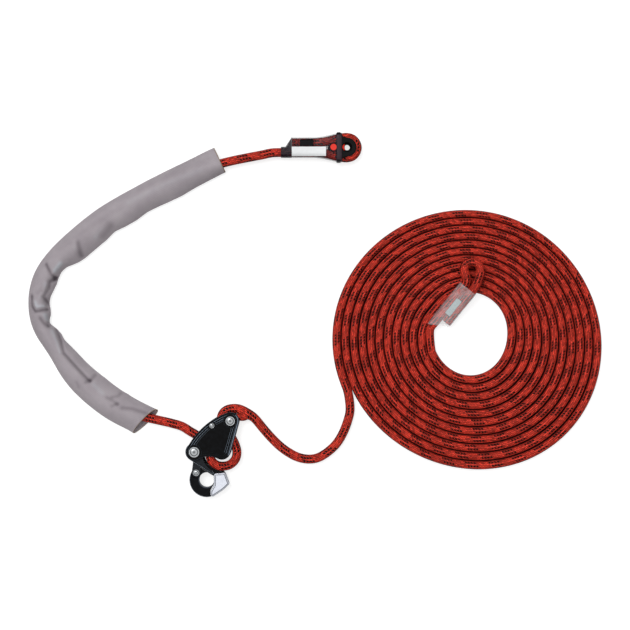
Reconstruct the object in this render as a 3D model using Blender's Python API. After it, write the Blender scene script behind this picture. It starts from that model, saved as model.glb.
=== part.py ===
"""Tree climbing lanyard: a rope adjuster, a thimble eye, a wear sleeve and a coiled rope with a sewn end.

Metres, +Z up. Everything lies on the plane z = 0, seen from above. The origin is on the flat outer
face of the adjuster's rear plate.
"""

import math

import bmesh
import bpy
import numpy as np
from mathutils import Matrix, Vector

# Fits and facets
GAP = 0.0003            # clearance kept between pieces that touch
CUT_OVERRUN = 0.002     # how far a cutting tool runs past a face
CHORD_ERROR = 0.00010   # how far a chord may stray from its arc
MERGE = 0.000001        # points this near are one point
SMOOTH_ANGLE = math.radians(32)

# Rope
ROPE_DIAMETER = 0.0115
ROPE_SIDE_PLAY = 0.00055    # between the rope and each side plate
ROPE_LONG_STEP = 0.034      # between two points on a straight run
ROPE_TURN_STEP = math.radians(16)   # between two points on a bend

# Side plates
PLATE_THICKNESS = 0.0030
PLATE_CHAMFER = 0.0005
PIVOT = (-0.0243, -0.0145)
TOP_POST = (0.0212, 0.0248)
GUIDE = (-0.0020, 0.0189)
BOLLARD = (0.0105, -0.0127)
PIVOT_LOBE_RADIUS = 0.0104
TOP_LOBE_RADIUS = 0.0112
BOLLARD_LOBE_RADIUS = 0.0114
BACK_RADIUS = 0.0920        # the long gentle upper left edge
WAIST_RADIUS = 0.0239       # the hollow lower edge
RIM_STEP_WIDTH = 0.0030
RIM_STEP_DEPTH = 0.0004
POCKET_WIDTH = 0.0055
POCKET_DEPTH = 0.0009
RIVET_LAND = 0.0022         # full thickness left round each rivet head
LAND_STEP = 0.0007          # and this much more at the pocket's floor
BOLLARD_RADIUS = 0.0092
BOLLARD_TOE = (0.0035, 0.0045)
BOLLARD_TOE_RADIUS = 0.0040

# Rivets and bushes
RIVET_HEAD_HEIGHT = 0.0017
RIVET_FLANGE_SHARE = 0.45       # of the head's height
RIVET_SINK = 0.0013             # depth of the rear countersink
PIVOT_HEAD_RADIUS = 0.0067
PIVOT_SHANK_RADIUS = 0.0040
PIVOT_BUSH_WALL = 0.0012
TOP_HEAD_RADIUS = 0.0060
TOP_SHANK_RADIUS = 0.0036
TOP_BUSH_RADIUS = 0.0049
GUIDE_HEAD_RADIUS = 0.0034
GUIDE_SHANK_RADIUS = 0.0018
GUIDE_SPACER_WALL = 0.0012
HOOK_HEAD_RADIUS = 0.0042
HOOK_SHANK_RADIUS = 0.0024

# Cam arm
CHEEK_SHARE = 0.2261        # of the rope's diameter
CHEEK_THICKNESS = CHEEK_SHARE * ROPE_DIAMETER
CHEEK_CHAMFER = 0.0004
CHEEK_BOSS_RADIUS = 0.0116
REAR_BOSS_RADIUS = 0.0110
WEB_STEP = 0.0008           # the front web lies this far below the band
WEB_SINK = 0.00005          # each web's faces lie this far inside the faces before
LOOP_CENTRE = (0.0114, -0.0152)     # middle of the rope's turn round the bollard
FRONT_HOLLOW_RADIUS = 0.0266        # hollow edge that follows the rope
REAR_HOLLOW_RADIUS = 0.0241
BAND_TIP = (-0.0006, -0.0419)
BAND_TIP_RADIUS = 0.0008
REAR_TIP = (0.0132, -0.0432)
REAR_TIP_RADIUS = 0.0020
HOOK_PIN_ANGLE = math.radians(145.418)   # the hook pin's direction from the middle of the connector eye
HOOK_PIN_SHARE = 0.5311      # the pin's place in the ring's width, from the eye outwards
HOOK_BOSS_RADIUS = 0.0056
NECK_OFFSET = (0.0004, 0.0136)      # from the hook pin to the top of the neck
NECK_RADIUS = 0.0043
CHORD_START = (-0.0090, -0.0384)
CHORD_END = (-0.0010, -0.0432)
CHORD_RADIUS = 0.0010
CAM_RADIUS = 0.0106
CAM_GROOVE_RADIUS = 0.0007
CAM_GROOVES = 4
CAM_GROOVE_PITCH = math.radians(14)
CAM_GROOVE_ANGLE = math.radians(-12)
CAM_FLOOR_SHARE = 0.1694     # of the cam's height, what is left under the spring's recess
SPRING_WIRE_SHARE = 0.155    # of the recess's depth
SPRING_PITCH_SHARE = 0.2525  # of the recess's depth
SPRING_RADIUS = 0.0076
SPRING_TURNS = 2.5
SPRING_STEPS = 10
SPRING_ROOM = 0.0006

# Connector eye, its hook and its nose
EYE = (-0.0089, -0.0500)
EYE_RADIUS = 0.0095
RING_RADIUS = 0.0218
RING_THICKNESS = 0.0104
RING_CHAMFER = 0.0010
HOOK_SWING_ROOM = 0.0014    # between the pin's boss and the thick part of the ring
HOOK_ROOM_END = (0.0026, -0.0447)   # where the room that the hook leaves to the arm ends
HOOK_ROOM_END_RADIUS = 0.0029
NOSE_CHAMFER = 0.0021
NOSE_CORNER_RADIUS = 0.0026
NOSE_TOP_LEFT = (0.0029, -0.0445)
NOSE_TOP_RIGHT = (0.0130, -0.0436)
NOSE_RIGHT = (0.0170, -0.0544)
NOSE_BULGE = (-0.0126, -0.0311)     # middle of the gently bulging lower right edge
NOSE_BULGE_RADIUS = 0.0400
NOSE_TIP = (-0.0012, -0.0680)
NOSE_SHOULDER = (-0.0012, -0.0650)
NOSE_TIP_RADIUS = 0.0029
NOSE_HOLLOW = (-0.0057, -0.0550)    # middle of the hollow edge where the hook ends
NOSE_HOLLOW_RADIUS = 0.0060
SEAM_GAP = 0.0006
TONGUE_END = (-0.0106, -0.0318)
TONGUE_RADIUS = 0.0024
NOSE_PIN_RADIUS = 0.0018
NOSE_PIN = (0.0098, -0.0505)
NOSE_PIN_DEPTH = 0.0050
BACKING_INSET = 0.0010

# Rope coil: a spiral whose radius falls steadily, wider at some sides than at others
COIL_CENTRE = (0.3241, 0.1295)
COIL_RADIUS = 0.16682
# How far the outer turn strays from a circle: cosine and sine waves, once, twice and three times round
COIL_RADIUS_WAVES = ((0.00088, -0.00499), (0.00174, -0.00342), (-0.00108, -0.00053))
COIL_PITCH = 0.01039
COIL_PITCH_WAVES = ((0.00021, -0.00074), (0.00028, -0.00030), (-0.00005, -0.00007))
COIL_ROPE_DIAMETER = 0.0102     # the turns press on each other
COIL_STEPS_PER_TURN = 24
COIL_TURNS = 11.0
COIL_START_ANGLE = math.radians(200)
COIL_TUCK = 0.0017          # the inner end draws in by this over its last part
COIL_TUCK_TURNS = 0.2

# Thimble end, measured from the middle of the thimble's eye
THIMBLE = (0.1689, 0.3712)
THIMBLE_HEIGHT = 0.0084     # of the rope's middle over the ground
THIMBLE_HOLE_RADIUS = 0.0046
THIMBLE_MOUTH_RADIUS = 0.0064
THIMBLE_FLANGE_RADIUS = 0.0120
THIMBLE_HALF_WIDTH = 0.0070
THIMBLE_MOUTH_DEPTH = 0.0030
THIMBLE_ROPE_RADIUS = 0.01295   # middle of the rope round the thimble
THIMBLE_GROOVE_STEPS = 8
THIMBLE_PLAY = 0.0006       # between the rope and its groove
NECK_HALF_WIDTH = 0.0064
NECK_TIP = (-0.0216, 0.0)
NECK_TIP_RADIUS = 0.0018
NECK_ROOT = (-0.0092, 0.0)
NECK_ROOT_RADIUS = 0.0052
EAR_MIDDLE = -0.0106
EAR_LENGTH = 0.0040
EAR_ROOT = 0.0044
EAR_INNER = 0.0180
EAR_WALL = 0.0008
EAR_HALF_HEIGHT = 0.0072
KEEPER_MIDDLE = -0.0023     # of the round outer face
KEEPER_RADIUS = 0.0047
KEEPER_HALF_HEIGHT = 0.0048
KEEPER_HOLLOW_RADIUS = 0.0039
KEEPER_HORNS = -0.0013      # where its horns end
BUTTON_MIDDLE = -0.0171
BUTTON_RADIUS = 0.0042
BUTTON_THICKNESS = 0.0008
BUTTON_STEM_RADIUS = 0.0022

# Covers and labels on the two sewn ends
LEG_HALF_SPACING = 0.0059
COVER_WALL = 0.0006
COVER_ROOM = 0.00085        # between the rope and a cover's wall
COVER_END = -0.0128
COVER_FLARE = (-0.0165, -0.0240, -0.0317, -0.0394)     # stations along the flare
COVER_FLARE_HALF_WIDTHS = (0.0170, 0.0152, 0.0136, 0.0126)
COVER_FLARE_HALF_HEIGHTS = (0.0078, 0.0078, 0.0075, 0.0066)
COVER_STRAIGHT = -0.0560
COVER_STEP = -0.0705
COVER_LEFT = -0.0838
COVER_CORNER_STEPS = 6
LABEL_THICKNESS = 0.0002
LABEL_ROOM = 0.00025
LABEL_LINE = ((-0.0698, -0.0059), (-0.0400, -0.0061), (-0.0267, -0.0077))
LABEL_ANGLES = (math.radians(48), math.radians(128))
LABEL_STEPS = 7
TAG_LINE = ((-0.0597, 0.0059), (-0.0432, 0.0061))
TAG_ANGLES = (math.radians(55), math.radians(100))
END_SLEEVE_LOW = (-0.0075, 0.0075)      # along the leg, at the sleeve's left and right edge
END_SLEEVE_HIGH = 0.0600
END_LABEL_MIDDLE = 0.0300
END_LABEL_LENGTH = 0.0240
END_LABEL_WIDTH = 0.0076

# Wear sleeve: a flattened woven tube round the rope
SLEEVE_WALL = 0.0007
SLEEVE_PLAY = 0.00115           # over the rope
SLEEVE_EDGE_DROP = 0.0048       # wide edges hang lower than the rope's middle, nearly by this
SLEEVE_SIDES = 12
SLEEVE_LINE_SHARE = 0.125       # the sleeve reads the rope's line at this share of the rope's own steps
SLEEVE_SLANTS = (-0.167, 0.60)      # both ends are cut askew: along the rope for each length across it
SLEEVE_SLANT_REACH = 0.050
# Chosen by hand at its straight runs and folds: distance along the rope from the thimble end, and how far
# the sleeve's edges reach beyond the rope's sides, inside and outside the bend
SLEEVE_EDGES = [
    (0.0765, 0.0060, 0.0166), (0.0900, 0.0085, 0.0149), (0.1050, 0.0107, 0.0129), (0.1200, 0.0121, 0.0119),
    (0.1400, 0.0146, 0.0112), (0.1600, 0.0146, 0.0107), (0.1800, 0.0134, 0.0108), (0.1900, 0.0129, 0.0110),
    (0.2080, 0.0148, 0.0117), (0.2250, 0.0143, 0.0120), (0.2390, 0.0127, 0.0120), (0.2560, 0.0155, 0.0117),
    (0.2750, 0.0158, 0.0116), (0.2930, 0.0158, 0.0115), (0.3020, 0.0146, 0.0111), (0.3110, 0.0118, 0.0108),
    (0.3200, 0.0082, 0.0106), (0.3300, 0.0068, 0.0107), (0.3400, 0.0082, 0.0109), (0.3500, 0.0095, 0.0108),
    (0.3600, 0.0088, 0.0102), (0.3700, 0.0072, 0.0094), (0.3800, 0.0067, 0.0088), (0.3900, 0.0079, 0.0086),
    (0.3990, 0.0070, 0.0087), (0.4050, 0.0038, 0.0088), (0.4100, 0.0022, 0.0089), (0.4150, 0.0042, 0.0088),
    (0.4210, 0.0072, 0.0085), (0.4300, 0.0091, 0.0075), (0.4400, 0.0083, 0.0072), (0.4500, 0.0101, 0.0077),
    (0.4600, 0.0116, 0.0090), (0.4700, 0.0125, 0.0105), (0.4800, 0.0130, 0.0116), (0.4950, 0.0141, 0.0128),
    (0.5150, 0.0155, 0.0132), (0.5400, 0.0152, 0.0137), (0.5550, 0.0150, 0.0141), (0.5700, 0.0122, 0.0152),
    (0.5820, 0.0096, 0.0166), (0.5930, 0.0070, 0.0180),
]

# Routes of the free rope, chosen by hand along the way it lies
LEAD_ROUTE = [
    (0.0610, 0.3620, 0.0081),
    (0.0419, 0.3584, 0.0078), (0.0229, 0.3545, 0.0078), (0.0083, 0.3508, 0.0078),
    (-0.0127, 0.3441, 0.0078), (-0.0343, 0.3354, 0.0078), (-0.0749, 0.3165, 0.0078),
    (-0.1118, 0.2953, 0.0078), (-0.1441, 0.2750, 0.0078), (-0.1734, 0.2515, 0.0078),
    (-0.1981, 0.2286, 0.0078), (-0.2134, 0.2057, 0.0078), (-0.2212, 0.1810, 0.0078),
    (-0.2203, 0.1575, 0.0078), (-0.2108, 0.1340, 0.0078), (-0.1949, 0.1092, 0.0078),
    (-0.1734, 0.0825, 0.0078), (-0.1473, 0.0584, 0.0078), (-0.1200, 0.0403, 0.0078),
    (-0.0902, 0.0298, 0.0078), (-0.0686, 0.0248, 0.0081), (-0.0533, 0.0213, 0.0086),
]
GRIP_ROUTE = [
    (-0.0123, -0.0029, 0.0093),
    (-0.0069, -0.0118, 0.0093), (-0.0051, -0.0203, 0.0093), (-0.0022, -0.0271, 0.0093),
    (0.0038, -0.0318, 0.0093), (0.0119, -0.0331, 0.0093), (0.0203, -0.0311, 0.0093),
    (0.0271, -0.0246, 0.0093), (0.0292, -0.0156, 0.0093), (0.0274, -0.0070, 0.0093),
    (0.0226, 0.0032, 0.0093), (0.0168, 0.0122, 0.0093), (0.0104, 0.0202, 0.0093),
    (0.0092, 0.0273, 0.0093), (0.0113, 0.0338, 0.0093), (0.0161, 0.0382, 0.0093),
    (0.0235, 0.0401, 0.0093),
]
TAIL_ROUTE = [
    (0.0625, 0.0145, 0.0072),
    (0.0730, 0.0025, 0.0062), (0.0838, -0.0080, 0.0058), (0.0940, -0.0155, 0.0058),
    (0.1067, -0.0220, 0.0058), (0.1207, -0.0245, 0.0058), (0.1321, -0.0226, 0.0058),
    (0.1435, -0.0160, 0.0058), (0.1549, -0.0056, 0.0058), (0.1638, 0.0086, 0.0058),
    (0.1702, 0.0254, 0.0058), (0.1728, 0.0380, 0.0058),
]
THIMBLE_ROUTE = [
    (0.1060, 0.3653, 0.0084), (0.1150, 0.3653, 0.0084),
    (0.1240, 0.3652, 0.0084), (0.1312, 0.3650, 0.0084), (0.1384, 0.3643, 0.0084),
    (0.1454, 0.3630, 0.0084), (0.1524, 0.3611, 0.0084), (0.1590, 0.3595, 0.0084),
    (0.1640, 0.3585, 0.0084), (0.1689, 0.35825, 0.0084), (0.1754, 0.3600, 0.0084),
    (0.1801, 0.36475, 0.0084), (0.1819, 0.3712, 0.0084), (0.1801, 0.37765, 0.0084),
    (0.1754, 0.3824, 0.0084), (0.1689, 0.38415, 0.0084), (0.1640, 0.3839, 0.0084),
    (0.1590, 0.3829, 0.0084), (0.1524, 0.3813, 0.0084), (0.1454, 0.3794, 0.0084),
    (0.1384, 0.3781, 0.0084), (0.1312, 0.3774, 0.0084), (0.1240, 0.3772, 0.0084),
    (0.1100, 0.3771, 0.0084), (0.0991, 0.3771, 0.0084),
]
END_EYE_ROUTE = [
    (0.2747, 0.1398, 0.0060), (0.2763, 0.1444, 0.0068), (0.2808, 0.1501, 0.0082), (0.2932, 0.1658, 0.0122),
    (0.3056, 0.1814, 0.0163),
    (0.3180, 0.1971, 0.0203), (0.3195, 0.2022, 0.0206), (0.3178, 0.2092, 0.0198),
    (0.3181, 0.2170, 0.0186), (0.3241, 0.2225, 0.0178), (0.3312, 0.2190, 0.0183),
    (0.3343, 0.2105, 0.0195), (0.3327, 0.1990, 0.0204), (0.3272, 0.1898, 0.0203),
    (0.3148, 0.1741, 0.0163), (0.3024, 0.1585, 0.0122), (0.2950, 0.1490, 0.0098),
]
# The line of that rope's first leg, which the sleeve and its label follow
END_LEG = ((0.2808, 0.1501, 0.0082), (0.3180, 0.1971, 0.0203))

# Where two lengths of the rope meet: place, and the heading that both have there
LEAD_MEETS_EYE = ((0.0847, 0.3650, 0.0084), (1.0, 0.04, 0.0))
LEAD_MEETS_GRIP = ((-0.0304, 0.0113, 0.0093), (0.853, -0.522, 0.0))
GRIP_MEETS_TAIL = ((0.0412, 0.0353, 0.0093), (0.820, -0.572, 0.0))

# Heights that follow from the stack of the adjuster
REAR_TOP = PLATE_THICKNESS
FRONT_BOTTOM = REAR_TOP + ROPE_DIAMETER + 2 * ROPE_SIDE_PLAY
FRONT_TOP = FRONT_BOTTOM + PLATE_THICKNESS
REAR_CHEEK_LOW = REAR_TOP + GAP
REAR_CHEEK_HIGH = REAR_CHEEK_LOW + CHEEK_THICKNESS
FRONT_CHEEK_HIGH = FRONT_BOTTOM - GAP
FRONT_CHEEK_LOW = FRONT_CHEEK_HIGH - CHEEK_THICKNESS
WEB_TOP = FRONT_CHEEK_HIGH - WEB_STEP
CORE_LOW = REAR_CHEEK_HIGH + GAP
CORE_HIGH = FRONT_CHEEK_LOW - GAP
CORE_MIDDLE = (CORE_LOW + CORE_HIGH) / 2
CAM_FLOOR = CAM_FLOOR_SHARE * (CORE_HIGH - CORE_LOW)
SPRING_DEPTH = CORE_HIGH - CORE_LOW - CAM_FLOOR
SPRING_WIRE = SPRING_WIRE_SHARE * SPRING_DEPTH
SPRING_PITCH = SPRING_PITCH_SHARE * SPRING_DEPTH
# The hook pin keeps its place in the ring, whatever the ring's size
HOOK_PIN_REACH = EYE_RADIUS + HOOK_PIN_SHARE * (RING_RADIUS - EYE_RADIUS)
HOOK_PIN = (
    EYE[0] + HOOK_PIN_REACH * math.cos(HOOK_PIN_ANGLE), EYE[1] + HOOK_PIN_REACH * math.sin(HOOK_PIN_ANGLE),
)
ROPE_RADIUS = ROPE_DIAMETER / 2


def clear_scene():
    for old in list(bpy.data.objects):
        bpy.data.objects.remove(old, do_unlink=True)


def finish_material(name, colour, roughness, metallic=0.0, alpha=1.0):
    """A plain surface of one colour."""
    made = bpy.data.materials.get(name)
    if made:
        return made
    made = bpy.data.materials.new(name)
    made.use_nodes = True
    shader = made.node_tree.nodes["Principled BSDF"]
    shader.inputs["Base Color"].default_value = (*colour, 1.0)
    shader.inputs["Roughness"].default_value = roughness
    shader.inputs["Metallic"].default_value = metallic
    shader.inputs["Alpha"].default_value = alpha
    return made


def black_anodised():
    return finish_material("black_anodised", (0.012, 0.012, 0.014), 0.38, 0.85)


def grey_anodised():
    return finish_material("grey_anodised", (0.045, 0.042, 0.048), 0.42, 0.85)


def bare_steel():
    return finish_material("bare_steel", (0.66, 0.68, 0.70), 0.25, 1.0)


def bare_aluminium():
    return finish_material("bare_aluminium", (0.80, 0.81, 0.84), 0.34, 1.0)


def red_rope():
    return finish_material("red_rope", (0.60, 0.030, 0.022), 0.85)


def black_nylon():
    return finish_material("black_nylon", (0.018, 0.018, 0.020), 0.50)


def red_rubber():
    return finish_material("red_rubber", (0.62, 0.012, 0.010), 0.55)


def smoky_cover():
    return finish_material("smoky_cover", (0.10, 0.09, 0.10), 0.22, alpha=0.45)


def clear_cover():
    return finish_material("clear_cover", (0.86, 0.86, 0.88), 0.20, alpha=0.35)


def pale_label():
    return finish_material("pale_label", (0.70, 0.71, 0.75), 0.55)


def dark_label():
    return finish_material("dark_label", (0.02, 0.02, 0.022), 0.55)


def grey_weave():
    return finish_material("grey_weave", (0.36, 0.33, 0.35), 0.92)


def axis_empty(name, place, parent=None):
    """A marker on a joint's axis, or at the middle of an assembly, that carries its pieces."""
    marker = bpy.data.objects.new(name, None)
    bpy.context.collection.objects.link(marker)
    origin = Vector(parent["place"]) if parent else Vector()
    marker["place"] = tuple(place)
    marker.parent = parent
    marker.location = Vector(place) - origin
    return marker


def add_object(name, bm, material=None, carrier=None):
    """Closes off the shape, puts its origin at its carrier's and makes it an object."""
    bmesh.ops.remove_doubles(bm, verts=bm.verts, dist=MERGE)
    bmesh.ops.recalc_face_normals(bm, faces=bm.faces)
    origin = Vector(carrier["place"]) if carrier else Vector()
    bmesh.ops.translate(bm, verts=bm.verts, vec=-origin)
    mesh = bpy.data.meshes.new(name)
    bm.to_mesh(mesh)
    bm.free()
    mesh.shade_smooth()
    mesh.set_sharp_from_angle(angle=SMOOTH_ANGLE)
    piece = bpy.data.objects.new(name, mesh)
    bpy.context.collection.objects.link(piece)
    if carrier:
        piece.parent = carrier
    if material:
        mesh.materials.append(material)
    else:
        piece.hide_render = True
        piece.display_type = "WIRE"
    return piece


def boolean(piece, tool, operation):
    """Cuts a hidden tool out of a piece, or adds it to the piece."""
    step = piece.modifiers.new(tool.name, "BOOLEAN")
    step.operation = operation
    step.object = tool
    step.solver = "EXACT"


def arc_steps(radius, turn):
    """How many chords an arc needs to stay within CHORD_ERROR of it."""
    chord_turn = 2 * math.acos(1 - CHORD_ERROR / max(abs(radius), 4 * CHORD_ERROR))
    return max(1, math.ceil(abs(turn) / chord_turn))


def round_sides(radius):
    return max(12, 4 * math.ceil(arc_steps(radius, 2 * math.pi) / 4))


def belt(wheels):
    """The line of a belt round wheels, as pairs of a point and its inward direction.

    A wheel is a centre and a radius. The belt runs with the wheels on its left, and a wheel of negative
    radius lies on its right, which makes the outline hollow there.
    """
    headings = []
    for index, (centre, radius) in enumerate(wheels):
        after, radius_after = wheels[(index + 1) % len(wheels)]
        span = Vector(after) - Vector(centre)
        lean = (radius_after - radius) / span.length
        headings.append(math.atan2(span.y, span.x) - math.asin(max(-1.0, min(1.0, lean))))
    line = []
    for index, (centre, radius) in enumerate(wheels):
        turn = (headings[index] - headings[index - 1]) % (2 * math.pi)
        if 2 * math.pi - turn < MERGE:
            turn = 0.0
        if radius < 0 and turn > 0:
            turn -= 2 * math.pi
        steps = arc_steps(radius, turn)
        for step in range(steps + 1):
            heading = headings[index - 1] + turn * step / steps
            inward = Vector((-math.sin(heading), math.cos(heading)))
            point = Vector(centre) - radius * inward
            if not line or (point - line[-1][0]).length > MERGE:
                line.append((point, inward))
    if (line[0][0] - line[-1][0]).length < MERGE:
        line.pop()
    return line


def wheel_touching(first, second, radius, outside):
    """The wheel of this radius that touches two others: outside them on their right, or round them."""
    (start, start_radius), (end, end_radius) = first, second
    side = 1 if outside else -1
    start_reach = radius + side * start_radius
    end_reach = radius + side * end_radius
    span = Vector(end) - Vector(start)
    along = (span.length_squared + start_reach ** 2 - end_reach ** 2) / (2 * span.length)
    across = math.sqrt(start_reach ** 2 - along ** 2)
    forward = span.normalized()
    right = Vector((forward.y, -forward.x))
    centre = Vector(start) + along * forward + across * right
    return (tuple(centre), -radius if outside else radius)


def bridge(bm, rings, closed=False):
    """Joins rings of equally many points, one after the other, into a skin."""
    made = [[bm.verts.new(point) for point in ring] for ring in rings]
    pairs = list(zip(made, made[1:]))
    if closed:
        pairs.append((made[-1], made[0]))
    for low, high in pairs:
        for index in range(len(low)):
            after = (index + 1) % len(low)
            bm.faces.new((low[index], low[after], high[after], high[index]))
    return made


def outline_prism(bm, wheels, levels):
    """An upright slab: the belt's outline at each level, drawn in by that level's inset."""
    line = belt(wheels)
    rings = [
        [(point.x + inset * inward.x, point.y + inset * inward.y, height) for point, inward in line]
        for height, inset in levels
    ]
    made = bridge(bm, rings)
    bm.faces.new(list(reversed(made[0])))
    bm.faces.new(made[-1])


def chamfered(low, high, chamfer):
    return [(low, chamfer), (low + chamfer, 0.0), (high - chamfer, 0.0), (high, chamfer)]


def slab(name, wheels, levels, material=None, carrier=None):
    bm = bmesh.new()
    outline_prism(bm, wheels, levels)
    return add_object(name, bm, material, carrier)


def turned(name, profile, middle, sides, material=None, carrier=None, closed=False):
    """A profile of (radius, height) turned about the upright axis through middle."""
    bm = bmesh.new()
    points = [bm.verts.new((middle[0] + radius, middle[1], height)) for radius, height in profile]
    edges = [bm.edges.new(pair) for pair in zip(points, points[1:])]
    if closed:
        edges.append(bm.edges.new((points[-1], points[0])))
    bmesh.ops.spin(
        bm, geom=points + edges, cent=(middle[0], middle[1], 0.0), axis=(0.0, 0.0, 1.0),
        angle=2 * math.pi, steps=sides, use_merge=True,
    )
    return add_object(name, bm, material, carrier)


def drill(piece, name, middle, radius, low, high, carrier=None):
    """Bores an upright hole whose facets stay clear of a shaft of the same radius less GAP."""
    tool = turned(
        f"drill_{name}", [(0.0, low), (radius, low), (radius, high), (0.0, high)],
        middle, round_sides(radius), carrier=carrier,
    )
    boolean(piece, tool, "DIFFERENCE")


def cut_box(name, low, high, carrier=None):
    bm = bmesh.new()
    bmesh.ops.create_cube(bm, size=1.0)
    for vert in bm.verts:
        vert.co = [low[axis] + (vert.co[axis] + 0.5) * (high[axis] - low[axis]) for axis in range(3)]
    return add_object(name, bm, carrier=carrier)


def smooth_line(route, long_step, turn_step):
    """Points read from one smooth curve through the route, closer together where it bends."""
    places = np.array(route, dtype=float)
    places = np.vstack([2 * places[0] - places[1], places, 2 * places[-1] - places[-2]])
    share = np.linspace(0.0, 1.0, 24, endpoint=False)[:, None]
    fine = []
    for before, start, end, after in zip(places, places[1:], places[2:], places[3:]):
        fine.append(0.5 * (
            2 * start + (end - before) * share
            + (2 * before - 5 * start + 4 * end - after) * share ** 2
            + (3 * start - before - 3 * end + after) * share ** 3
        ))
    fine = np.vstack(fine + [places[-2][None]])
    runs = np.diff(fine, axis=0)
    lengths = np.linalg.norm(runs, axis=1)
    headings = runs / lengths[:, None]
    turns = np.arccos(np.clip((headings[1:] * headings[:-1]).sum(axis=1), -1.0, 1.0))
    need = lengths / long_step
    need[1:] += turns / turn_step
    count = np.concatenate([[0.0], np.cumsum(need)])
    marks = np.linspace(0.0, count[-1], math.ceil(count[-1]) + 1)
    return np.column_stack([np.interp(marks, count, fine[:, axis]) for axis in range(3)])


def line_length(points):
    return float(np.linalg.norm(np.diff(points, axis=0), axis=1).sum())


def rope_tube(name, points, diameter, rings, shares=None, tilt=0.0, material=None, carrier=None):
    """A rope's solid: a round tube along the points, with filled ends."""
    curve = bpy.data.curves.new(name, "CURVE")
    curve.dimensions = "3D"
    curve.twist_mode = "Z_UP"
    curve.fill_mode = "FULL"
    curve.use_fill_caps = True
    curve.bevel_depth = diameter / 2
    curve.bevel_resolution = rings
    spline = curve.splines.new("POLY")
    spline.points.add(len(points) - 1)
    origin = np.array(carrier["place"]) if carrier else np.zeros(3)
    for index, place in enumerate(points):
        spline.points[index].co = (*(place - origin), 1.0)
        spline.points[index].tilt = tilt
        if shares is not None:
            spline.points[index].radius = shares[index]
    spline.use_smooth = True
    curve.materials.append(material or red_rope())
    rope = bpy.data.objects.new(name, curve)
    bpy.context.collection.objects.link(rope)
    if carrier:
        rope.parent = carrier
    return rope


def plate_wheels():
    """The rounded triangle of both side plates."""
    pivot = (PIVOT, PIVOT_LOBE_RADIUS)
    bollard = (BOLLARD, BOLLARD_LOBE_RADIUS)
    top = (TOP_POST, TOP_LOBE_RADIUS)
    waist = wheel_touching(pivot, bollard, WAIST_RADIUS, outside=True)
    back = wheel_touching(pivot, top, BACK_RADIUS, outside=False)
    return [pivot, waist, bollard, top, back]


def rivet_fits():
    """Each rivet through the plates: its name, place, head radius and shank radius."""
    return [
        ("pivot", PIVOT, PIVOT_HEAD_RADIUS, PIVOT_SHANK_RADIUS),
        ("top", TOP_POST, TOP_HEAD_RADIUS, TOP_SHANK_RADIUS),
        ("guide", GUIDE, GUIDE_HEAD_RADIUS, GUIDE_SHANK_RADIUS),
    ]


def make_front_plate(carrier):
    plate = slab(
        "front_plate", plate_wheels(), chamfered(FRONT_BOTTOM, FRONT_TOP, PLATE_CHAMFER),
        black_anodised(), carrier,
    )
    for name, inset, depth, foot in (
        ("rim_step", RIM_STEP_WIDTH, RIM_STEP_DEPTH, 0.0),
        ("pocket", POCKET_WIDTH, POCKET_DEPTH, LAND_STEP),
    ):
        tool = slab(
            f"tool_{name}", plate_wheels(),
            [(FRONT_TOP - depth, inset), (FRONT_TOP + CUT_OVERRUN, inset)], carrier=carrier,
        )
        for rivet, place, head, _ in rivet_fits():
            land = head + RIVET_LAND + foot
            drill(
                tool, f"{name}_land_{rivet}", place, land,
                FRONT_BOTTOM, FRONT_TOP + 2 * CUT_OVERRUN, carrier,
            )
        boolean(plate, tool, "DIFFERENCE")
    for name, place, _, shank in rivet_fits():
        drill(
            plate, f"front_{name}", place, shank + GAP,
            FRONT_BOTTOM - CUT_OVERRUN, FRONT_TOP + CUT_OVERRUN, carrier,
        )


def make_rear_plate(carrier):
    """The rear plate, flat outside, with the bollard that stands between the plates."""
    plate = slab(
        "rear_plate", plate_wheels(), chamfered(0.0, REAR_TOP, PLATE_CHAMFER), black_anodised(), carrier,
    )
    post = slab(
        "tool_bollard", [(BOLLARD, BOLLARD_RADIUS), (BOLLARD_TOE, BOLLARD_TOE_RADIUS)],
        [(REAR_TOP - PLATE_THICKNESS / 2, 0.0), (FRONT_BOTTOM - GAP - PLATE_CHAMFER, 0.0),
         (FRONT_BOTTOM - GAP, PLATE_CHAMFER)],
        carrier=carrier,
    )
    boolean(plate, post, "UNION")
    for name, place, _, shank in rivet_fits():
        sink = shank + RIVET_SINK + GAP
        tool = turned(
            f"drill_rear_{name}",
            [(0.0, -CUT_OVERRUN), (sink, -CUT_OVERRUN), (sink, 0.0), (shank + GAP, RIVET_SINK),
             (shank + GAP, REAR_TOP + CUT_OVERRUN), (0.0, REAR_TOP + CUT_OVERRUN)],
            place, round_sides(sink), carrier=carrier,
        )
        boolean(plate, tool, "DIFFERENCE")


def domed_head(head, shank, seat):
    """Upper half of a rivet's profile: a flange on the seat with a low dome on it."""
    flange = seat + RIVET_FLANGE_SHARE * RIVET_HEAD_HEIGHT
    top = seat + RIVET_HEAD_HEIGHT
    dome = (head + shank) / 2
    return [
        (shank, seat), (head, seat), (head, flange - GAP), (head - GAP, flange),
        (dome, flange), (dome - GAP, (flange + top) / 2), (dome / 2, top - GAP / 2), (0.0, top),
    ]


def make_plate_rivets(carrier):
    seat = FRONT_TOP + GAP
    for name, place, head, shank in rivet_fits():
        foot = [(0.0, 0.0), (shank + RIVET_SINK - GAP, 0.0), (shank, RIVET_SINK)]
        turned(
            f"{name}_rivet", foot + domed_head(head, shank, seat), place, round_sides(head),
            bare_steel(), carrier,
        )


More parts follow.
